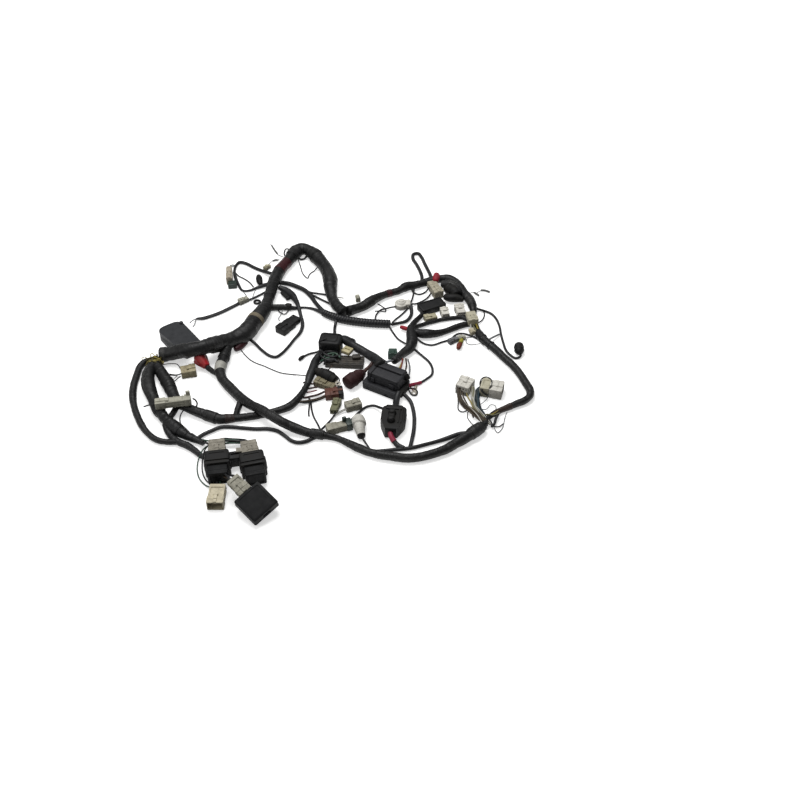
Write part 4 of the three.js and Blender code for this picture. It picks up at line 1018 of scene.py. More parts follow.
def connector_shell(
    width, length, height, ways=(3, 1), ribs=0, window=0, latch=5.0, socket=False, steps=0, collar=0.45
):
    """A moulded housing. Its wires enter at +y through ways holes across and up, its mating end is at
    -y, and a latch lies along its top; ribs and steps break up its back half, window is a recess."""
    inset = 0.8
    skirt_length = collar * length
    front = -length / 2
    back_length = length - skirt_length
    back_middle = front + skirt_length + back_length / 2
    shell = slab(width - 2 * inset, length, height - inset, corner=1.2, edge=0.5)
    added = [slab(width, skirt_length, height, at=(0, front + skirt_length / 2, 0), corner=1.5, edge=0.6)]
    if latch:
        reach = skirt_length * 1.25
        added.append(detail(latch, reach, 1.8, (0, front + reach / 2 + 0.4, height - 0.6), 0.4, 0.3))
        added.append(detail(latch + 1.6, 2.6, 2.2, (0, front + reach - 0.8, height - 0.7), 0.4, 0.3))
    for i in range(ribs):
        x = (i - (ribs - 1) / 2) * (width - 4.6) / max(ribs - 1, 1)
        added.append(detail(0.9, back_length - 1.6, 1.0, (x, back_middle, height - 1.4)))
    for i in range(steps):
        y = front + skirt_length + (i + 1) * back_length / (steps + 1)
        added.append(detail(width - 0.4, 1.4, height - 0.3, (0, y, 0), corner=1.0, edge=0.4))
    for side in (-1, 1):
        x = side * (width / 2 - 0.75)
        added.append(detail(0.9, back_length - 1, 1.5, (x, back_middle, height * 0.42)))
    shell = fuse(shell, *added)
    columns, rows = ways
    room_across, room_up = width - 3.4, height - 2.6
    hole_radius = 0.36 * min(room_across / columns, room_up / rows)
    holes = []
    for column in range(columns):
        for row in range(rows):
            x = (column - (columns - 1) / 2) * room_across / columns
            z = height / 2 - 0.4 + (row - (rows - 1) / 2) * room_up / rows
            holes.append(rod(hole_radius, 7, at=(x, length / 2, z), sides=12))
    shell = cut(shell, together(holes))
    shell = cut(shell, frame_of(width, 0.8, height, 0.45, at=(0, front + skirt_length / 2, 0)))
    if window:
        shell = cut(shell, detail(width - 6, window, 3, (0, back_middle, height - 1.9), 0.5, 0))
    if socket:
        cavity = slab(width - 3.2, 15, height - 3.2, at=(0, front + 6.7, 1.6), corner=1, edge=0)
        key = slab(1.4, 17, 1.6, at=(-width / 4, front + 6.7, 1.4), corner=0, edge=0)
        shell = cut(shell, cut(cavity, key))
        pins = []
        for column in range(columns):
            x = (column - (columns - 1) / 2) * (width - 5) / columns
            pins.append(detail(1.6, 9, 0.8, (x, front + 9, height / 2)))
        shell = fuse(shell, together(pins))
    return shell


# The loom's own list of connectors: node, size, place, turn of the wire end from +y, finish, slot, details
CONNECTORS = (
    ("grey_inline_connector", (14, 38, 12), (16, -141, 0), -70, GREY_NYLON, "grey_nylon",
     {"ribs": 2, "steps": 2, "latch": 0}),
    ("long_inline_connector", (13, 52, 12), (-228, -105, 16.2), -79, PALE_GREY_NYLON, "aged_nylon",
     {"ribs": 2, "steps": 2, "collar": 0.3}),
    ("green_connector", (15, 15, 12), (92.5, 26, 0), 0, GREEN_NYLON, "green_nylon", {"ribs": 2}),
    ("brown_connector", (18, 27, 12), (5, -68, 0), 100, BROWN_NYLON, "brown_nylon", {"steps": 1}),
    ("pale_connector", (16, 24, 12), (34.5, -94, 0), 112, GREY_NYLON, "natural_nylon", {"ribs": 3}),
    ("right_ivory_connector", (17, 36, 14), (163.8, 197.2, 0), 21, DUSTY_BEIGE_NYLON, "aged_nylon",
     {"steps": 1, "ribs": 3, "collar": 0.4}),
    ("upper_white_connector", (14, 19, 12), (178, 132, 0), 190, WHITE_NYLON, "natural_nylon",
     {"ways": (2, 2)}),
    ("middle_white_connector", (16, 24, 12), (203.5, 139, 0), 190, WHITE_NYLON, "natural_nylon",
     {"ways": (3, 2)}),
    ("front_white_connector", (17, 25, 11), (221, 107, 9.3), 10, PALE_OLIVE_NYLON, "natural_nylon",
     {"ways": (3, 2)}),
    ("lower_ivory_connector", (23, 35, 15), (-142.5, -278.5, 0), 0, IVORY_NYLON, "natural_nylon",
     {"socket": True, "window": 11, "ways": (4, 2), "collar": 0.36}),
    ("beige_connector", (19, 23, 13), (-221.5, -17, 0), 105, MOTTLED_BROWN_NYLON, "aged_nylon",
     {"socket": True, "ribs": 2, "ways": (3, 2)}),
    ("white_connector_left", (23, 24, 18), (202, -54, 0), 153, WHITE_NYLON, "natural_nylon",
     {"socket": True, "ribs": 4, "ways": (4, 2), "latch": 4}),
    ("white_connector_right", (25, 34, 17), (242.2, -60, 0), 75, WHITE_NYLON, "natural_nylon",
     {"socket": True, "ribs": 3, "ways": (4, 2), "latch": 6}),
)
for node, size, place, turn, finish, slot, details in CONNECTORS:
    housing = connector_shell(*size, **details)
    moulding(housing, node + "_shell", finish, slot, place, turn, stands_for=[node])


def left_outer_connector():
    """Two small connectors clipped across each other, the outer one lengthwise."""
    place = (-191, 239, 0)
    turn = 8
    upright = connector_shell(11, 38, 14, ways=(2, 2), steps=2)
    node = "left_outer_connector"
    moulding(upright, "left_outer_shell", FADED_NYLON, "aged_nylon", place, turn, stands_for=[node])
    across = set_down(connector_shell(15, 14, 9, ways=(3, 1), latch=0), (4.5, -25, 0))
    moulding(across, "left_outer_clip", GREEN_BLACK_NYLON, "green_nylon", place, turn)
    strands("left_outer_wire", LEFT_OUTER_WIRES, 3, 0.9, (BLACK_WIRE, GREEN_WIRE))


def connector_fittings():
    """Parts pushed onto the connectors: collars, a tab and the yellowed half of the right white one."""
    collar = slab(15.4, 9, 13.2, at=(0, 14.5, 0), corner=1.5, edge=0.7)
    collar = fuse(collar, slab(4, 6, 7, at=(-4, 9, 12), corner=1, edge=0.6))
    moulding(collar, "inline_end_collar", GREEN_BLACK_NYLON, "black_nylon", (16, -141, 0), -70)
    tab = slab(3.4, 6, 8, at=(-5, 22.5, 11), corner=0.8, edge=0.6)
    rail = slab(13.6, 9, 12.6, at=(0, 21, -0.2), corner=1, edge=0.6)
    moulding(fuse(tab, rail), "long_inline_tab", PALE_GREY_NYLON, "aged_nylon", (-228, -105, 16.4), -79)
    half = slab(25.6, 14, 17.6, at=(0, 9.6, 0), corner=1.6, edge=0.8)
    half = cut(half, slab(15, 8, 2, at=(0, 9.6, 16.8), corner=1, edge=0))
    moulding(half, "white_right_yellowed_half", PALE_OLIVE_NYLON, "aged_nylon", (242.2, -60, 0), 75)
    dark_end = slab(18.6, 8, 12.6, at=(0, -9.8, 0), corner=1.4, edge=0.8)
    moulding(dark_end, "brown_connector_dark_end", BLACK_NYLON, "black_nylon", (5, -68, 0), 100)


def mated_connectors():
    """A dark connector pair: the plug half sits in the wider receptacle."""
    receptacle = connector_shell(20, 30, 12, ways=(4, 2), steps=1)
    plug_half = slab(16, 16, 10, at=(0, 20, 1), corner=1.2, edge=0.6)
    holes = [rod(1.4, 6, at=(x, 28, 6), sides=12) for x in (-4.5, 0, 4.5)]
    moulding(
        fuse(receptacle, cut(plug_half, together(holes))), "mated_connector_shell", BLACK_NYLON,
        "black_nylon", (-81.5, 95, 0), -36, stands_for=["mated_connectors"],
    )


def olive_connector():
    """The small olive housing, its twin dark leads, and the pale lead that crosses it."""
    shell = connector_shell(13, 26, 10, ways=(2, 1), ribs=2)
    place = (8.5, -95, 0)
    moulding(shell, "olive_shell", OLIVE_NYLON, "olive_nylon", place, 168, stands_for=["olive_connector"])
    for side, offset in (("upper", 1.1), ("lower", -1.1)):
        route = [(x, y + offset * MM, z, 1.15 * MM) for x, y, z, _ in TWIN_LEAD]
        thin_tube("twin_lead_" + side, route, BLACK_WIRE, sides=12)
    for number, offset, finish in ((1, 1.5, WHITE_WIRE), (2, 0, GREY_WIRE), (3, -1.5, WHITE_WIRE)):
        route = [(x, y + offset * MM, z + 0.4 * MM, 0.85 * MM) for x, y, z, _ in PALE_BRANCH]
        thin_tube("pale_branch_" + str(number), route, finish)


def relay(number, x, y, turn):
    """A relay in its rubber mount: the sleeve has a deep groove near its mouth, a moulded panel on top
    and a hanging lug at each side."""
    sleeve = slab(34, 27, 28, corner=3.5, edge=2.2)
    lugs = [slab(3, 15, 12, at=(side * 17.2, 1, 6), corner=1, edge=1) for side in (-1, 1)]
    lip = slab(35, 5, 28.6, at=(0, -11, 0), corner=3.5, edge=2.2)
    sleeve = fuse(sleeve, lip, *lugs)
    panel = slab(22, 12, 4, at=(0, 1.5, 27.2), corner=2, edge=0)
    sleeve = cut(
        sleeve,
        frame_of(34, 2.2, 28, 1.6, at=(0, -7, 0)),
        panel,
        slab(28.4, 40, 22.4, at=(0, -11.5, 2.8), corner=1, edge=0.6),
    )
    place = (x, y, 0)
    moulding(
        sleeve, "relay_%d_sleeve" % number, BLACK_RUBBER, "black_rubber", place, turn,
        stands_for=["relay_%d" % number],
    )
    can = slab(28, 44, 22, at=(0, -8.5, 3), corner=2.2, edge=1.4)
    rim = slab(28.8, 4, 22.8, at=(0, -24.5, 2.6), corner=2.4, edge=1.4)
    face = slab(21, 3, 15, at=(0, -31, 6.5), corner=1.5, edge=0)
    can = cut(fuse(can, rim), face)
    moulding(can, "relay_%d_can" % number, RELAY_PLASTIC, "black_nylon", place, turn)
    sleeve_length, plug_length, gap = 27, 27, 0.3
    rear = sleeve_length / 2 + plug_length / 2 + gap
    angle = math.radians(turn)
    plug = connector_shell(24, plug_length, 15, ways=(3, 2), ribs=3, steps=1, latch=6)
    moulding(
        plug, "relay_%d_plug_shell" % number, DUSTY_PLUG_NYLON, "natural_nylon",
        (x - rear * math.sin(angle), y + rear * math.cos(angle), 8), turn,
        stands_for=["relay_%d_plug" % number],
    )


def plug_wires():
    """The wires of the plugs and connectors that no sleeved lead ends at."""
    strands("relay_plug_wire", RELAY_PLUG_WIRES, 5, 1.1, (BLACK_WIRE, BLACK_WIRE, GREEN_WIRE))
    strands("square_plug_wire", SQUARE_PLUG_WIRES, 6, 1.3, (BLACK_WIRE, BLACK_WIRE, BROWN_WIRE))
    strands("ivory_plug_wire", IVORY_WIRES, 5, 1.3, (BLACK_WIRE, GREEN_WIRE, BLACK_WIRE))
    strands("beige_plug_wire", BEIGE_WIRES, 2, 0.9, (BLACK_WIRE,))
    strands("brown_plug_wire", BROWN_WIRES, 4, 0.9, (BROWN_WIRE, RED_WIRE, BLACK_WIRE))


def relay_strap():
    """The rubber web between the two relay mounts, with a pale clip pushed on it."""
    web = slab(30, 15, 18, corner=3, edge=2)
    web = cut(web, slab(20, 3, 4, at=(0, 1, 16), corner=1, edge=0))
    moulding(web, "relay_web", BLACK_RUBBER, "black_rubber", (-121, -211, 3), 12)
    clip = slab(15, 8, 2.4, corner=1, edge=0.6)
    clip = cut(clip, rod(1.6, 8, at=(4, 0, 1), along="z"))
    moulding(clip, "relay_clip", DUSTY_PLUG_NYLON, "grey_nylon", (-116.5, -204, 20.8), 6)


def square_relay():
    """The flat relay: a body with a raised foot and a recessed face, and its grey plug behind."""
    side, plug_length, gap, turn, lean = 42, 28, 0.3, 45, 20
    lift = side / math.sqrt(2) * math.sin(math.radians(lean))
    place = Vector((-86, -296, lift))
    body = slab(side, side, 13, corner=2.2, edge=1.2)
    foot = slab(42.6, 42.6, 3.4, at=(0, 0, 0), corner=2.4, edge=0.8)
    body = fuse(body, foot)
    body = cut(
        body,
        slab(34, 34, 3, at=(0, 0, 12.4), corner=2, edge=0),
        slab(12, 3, 5, at=(0, -21.4, 5), corner=0.6, edge=0),
    )
    moulding(
        body, "square_relay_body", RELAY_PLASTIC, "black_nylon", place, turn, lean,
        stands_for=["square_relay"],
    )
    across = ((side + plug_length) / 2 + gap) * math.sqrt(0.5)
    plug_place = Matrix.Rotation(math.radians(lean), 3, "X") @ Vector((-across, across, 0)) + place
    plug = connector_shell(20, plug_length, 12, ways=(4, 2), ribs=2, steps=1, window=6)
    moulding(
        plug, "square_relay_plug_shell", GREY_NYLON, "grey_nylon", plug_place, turn, lean,
        stands_for=["square_relay_plug"],
    )


def igniter_box():
    """The sealed ignition box: one long side cut back at a slant, a far end that is nearly half round,
    and a near corner cut away clear of the trunk."""
    box = slab(43, 79, 16, at=(0, 2.5, 0), corner=0, edge=0)
    round_edges(box, 14, 7, lambda a, b: abs(a.z - b.z) > 8 and a.y > 0)
    round_edges(box, 7.5, 1, lambda a, b: min(a.z, b.z) > 15.9 and max(a.x, b.x) < -21.4)
    round_edges(box, 1.1, 2, lambda a, b: min(a.z, b.z) > 15.99 and min(a.x, b.x) > -13.9)
    corner_cutter = set_down(slab(20, 44, 30, at=(0, 0, -5), corner=0, edge=0), (-24.5, -31.3, 0), 28.7)
    box = cut(box, corner_cutter)
    seam = slab(50, 90, 0.6, at=(0, 0, 7.2), corner=0, edge=0)
    seam = cut(seam, slab(42.2, 90, 3, at=(0, -3.3, 6), corner=13, edge=0, steps=5))
    box = cut(box, seam)
    ear = slab(9, 7, 4, at=(15, 39, 0), corner=2, edge=0.5)
    boss = rod(3.2, 5, at=(18, 31, 16.2), along="z", rim=0.8)
    moulding(
        fuse(box, ear, boss), "igniter_box_shell", IGNITER_PLASTIC, "bare_plastic", (-244.7, 55.8, 0), 37,
        stands_for=["igniter_box"],
    )


def fuse_box():
    """The fuse box: a plain base with cable mouths at its back, and a lid with a deep slot and clips."""
    x, y, turn = 83, -47, -30
    base = slab(62, 40, 13, corner=3, edge=1)
    ledge = slab(58, 4, 3, at=(0, -19.2, 9), corner=0.8, edge=0.5)
    mouths = [detail(9, 5, 7, (across, 20, 3), corner=1, edge=0) for across in (-22, -8, 8, 22)]
    notches = [detail(5, 3, 5, (across, -20.6, 1.5), corner=0.5, edge=0) for across in (-20, 12)]
    base = cut(fuse(base, ledge), together(mouths), together(notches))
    moulding(
        base, "fuse_box_base_shell", BOX_PLASTIC, "bare_plastic", (x, y, 0), turn,
        stands_for=["fuse_box_base"],
    )
    lid = slab(54, 33, 16, corner=3.5, edge=2.6)
    skirt = slab(55, 34, 4, corner=3.5, edge=0.8)
    hump = slab(50, 12, 2.4, at=(0, 8.5, 15.2), corner=2, edge=1)
    corners = ((-17, -17), (-17, 17), (17, -17), (17, 17))
    clips = [slab(9, 3, 9, at=(*corner, 0), corner=0.8, edge=0.6) for corner in corners]
    lid = fuse(lid, skirt, hump, *clips)
    lid = cut(
        lid,
        slab(44, 2.2, 3, at=(1, 1.2, 14.4), corner=0.3, edge=0),
        slab(1.4, 40, 12, at=(-19, -8, 4), corner=0, edge=0),
    )
    setback, lid_height, angle = 4, 13.3, math.radians(turn)
    moulding(
        lid, "fuse_box_lid_shell", BOX_PLASTIC, "bare_plastic",
        (x - setback * math.sin(angle), y + setback * math.cos(angle), lid_height), turn,
        stands_for=["fuse_box_lid"],
    )
    end_cap = slab(7, 24, 12, at=(30.5, 0, 1.5), corner=2, edge=1.2)
    moulding(end_cap, "fuse_box_end_grommet", BLACK_RUBBER, "black_rubber", (x, y, 0), turn)


def central_block():
    """The moulded block at the middle of the loom: chamfered crown, slanted groove and a strap round it."""
    block = slab(35, 29, 30, corner=6, edge=3.4, steps=3)
    crown = slab(22, 17, 1.6, at=(0.5, 0.5, 29.4), corner=4, edge=0.8)
    block = fuse(block, crown, slab(36, 9, 12, at=(0, 0, 4), corner=2, edge=1.5))
    groove = set_down(slab(12, 2.4, 4, corner=0.8, edge=0), (-9, -8, 28.4), 32)
    notch = slab(7, 6, 9, at=(-14, -14, 12), corner=1.5, edge=0)
    block = cut(block, groove, notch, frame_of(35, 1.2, 30, 0.7, at=(0, 8, 0)))
    moulding(
        block, "central_block_body", BLACK_NYLON, "black_nylon", (-5, 36, 0), -8,
        stands_for=["central_block"],
    )
    plate = slab(60, 22, 9, corner=2, edge=0.8)
    rails = [detail(56, 1.4, 1.2, (0, y, 8.5), corner=0.4, edge=0.3) for y in (-8.5, -3, 2.5, 8)]
    plate = fuse(plate, *rails)
    moulding(
        plate, "carrier_plate_body", SMOKED_NYLON, "black_nylon", (18, 7.6, 0), -4,
        stands_for=["carrier_plate"],
    )
    tab = cut(slab(15, 14, 6, corner=1.5, edge=0.8), slab(9, 3, 3, at=(0, 0, 4.6), corner=0.6, edge=0))
    moulding(tab, "yellowed_tab", YELLOWED_NYLON, "aged_nylon", (21.5, 24.5, 10.5), -30)
    cap = slab(13, 9, 5, corner=2, edge=1)
    moulding(cap, "dull_cap", SMOKED_NYLON, "black_nylon", (36, 11.5, 9.2), 8)


def starter_relay():
    """The starter relay in its rubber holder: a split collar, and a round cover over each stud."""
    holder = slab(36, 50, 20, corner=6, edge=3, steps=4)
    belt = slab(36.6, 40, 4, at=(0, 5, 6), corner=6.4, edge=1.2, steps=4)
    folds = [slab(2.4, 30, 3, at=(x, 3, 18.4), corner=0.8, edge=0.8) for x in (8, 12.5)]
    left_cutter = set_down(slab(20, 60, 60, at=(0, 0, -20), corner=0, edge=0), (-22.2, -19.4, 0), 22.8)
    right_cutter = set_down(slab(20, 60, 60, at=(0, 0, -20), corner=0, edge=0), (20.3, -21.2, 0), -27.9)
    holder = cut(fuse(holder, belt, *folds), left_cutter, right_cutter)
    covers = [rod(6.5, 8, at=(-2, y, 23), along="z", rim=2.2, far_radius=4.6) for y in (-7.5, 7.5)]
    spine = slab(9, 15, 6.5, at=(-2, 0, 18), corner=2, edge=1.6)
    shoulder = slab(26, 9, 4, at=(0, 20, 18), corner=3, edge=1.8)
    moulding(
        fuse(holder, spine, shoulder, *covers), "starter_relay_holder", BLACK_RUBBER, "black_rubber",
        (94, -134.5, 0), -6, stands_for=["starter_relay"],
    )


def flat_module():
    """The flat diode module: a moulded tray filled with potting, and a slot at one end."""
    body = slab(44, 23, 12, corner=2, edge=1.2)
    body = cut(
        body,
        slab(38, 17, 2, at=(0, 0, 11.2), corner=1.5, edge=0),
        slab(3, 12, 5, at=(22, 0, 4), corner=0.8, edge=0),
    )
    moulding(
        body, "flat_module_body", BLACK_NYLON, "black_nylon", (156.5, 150, 0), 27,
        stands_for=["flat_module"],
    )


def round_cap():
    """The round two-way connector: a domed cap that stands on its rim, with its neck to the right."""
    cap = rod(11, 9, at=(0, 0, 4.5), along="z", rim=1.4, sides=40)
    dome = rod(10.6, 6, at=(0, 0, 9.6), along="z", rim=1.2, far_radius=6, sides=40)
    button = rod(4.4, 2, at=(0, 0, 12.9), along="z", rim=0.6, sides=28)
    neck = slab(9, 14, 10, at=(11, 0, 0), corner=1.2, edge=0.6)
    collar = slab(2.4, 15, 10.6, at=(12.4, 0, 0), corner=1.0, edge=0.5)
    piece = fuse(cap, dome, button, neck, collar)
    piece = cut(piece, rod(2.2, 6, at=(15, 0, 5), along="x", sides=14))
    moulding(
        piece, "round_cap_shell", WHITE_NYLON, "natural_nylon", (106, 157, 0),
        stands_for=["round_cap_connector"],
    )


def banded(steps):
    """Skin of a moulded round piece: smooth, with a raised rim at each place, in shares of its length."""
    rim_width, rim_height = 0.035, 0.8

    def skin(places, angles, radius, seed):
        share = places / places[-1]
        rim = sum(np.exp(-(((share - at) / rim_width) ** 2)) for at in steps) * rim_height * MM
        return np.repeat(rim[:, None], len(angles), axis=1)

    return skin


def bulb_socket(places, angles, radius, seed):
    """Skin of the bulb holder: a wide eight-sided head, a groove under its collar, and a tapered grip."""
    share = places / places[-1]
    head = np.where(share < 0.44, 0.7, -0.9) * MM
    groove = -1.3 * MM * np.exp(-(((share - 0.45) / 0.03) ** 2))
    flutes = 0.45 * MM * np.abs(np.cos(4 * angles))
    return (head + groove)[:, None] + flutes[None, :]


# Boots, plugs and the bulb holder, which follow their lead: node, name, route, skin, finish and slot
TURNED_PIECES = (
    ("rubber_boot", "rubber_boot_skin", RUBBER_BOOT, banded((0.3, 0.62, 0.97)), RED_RUBBER, "red_rubber"),
    ("black_plug", "black_plug_body", BLACK_PLUG, banded((0.25, 0.5, 0.75)), BLACK_RUBBER, "black_rubber"),
    ("bulb_holder", "bulb_holder_body", BULB_HOLDER_BODY, bulb_socket, BULB_NYLON, "natural_nylon"),
    ("cylindrical_plug", "cylindrical_plug_body", CYLINDRICAL_PLUG, banded((0.2, 0.5, 0.86)),
     BLACK_RUBBER, "black_rubber"),
    ("end_plug", "end_plug_body", END_PLUG_BODY, banded((0.35, 0.7, 0.95)), BLACK_NYLON, "black_nylon"),
)


def round_pieces():
    """The turned pieces, and the wires of the boot and the bulb holder."""
    for node, name, route, skin, finish, slot in TURNED_PIECES:
        tube(name, route, skin, finish, slot, 30, MOULDED_SPACING, stands_for=[node])
    tube("boot_wire", BOOT_WIRE, smooth_sleeve, RED_BROWN_SLEEVE, "sleeving", sides=14)
    tube("bulb_wire", BULB_WIRE, smooth_sleeve, BLACK_WIRE, "sleeving", sides=12)


left_outer_connector()
connector_fittings()
mated_connectors()
olive_connector()
relay(1, -148, -222, 9)
relay(2, -99, -224, 15)
plug_wires()
relay_strap()
square_relay()
igniter_box()
fuse_box()
central_block()
starter_relay()
flat_module()
round_cap()
round_pieces()
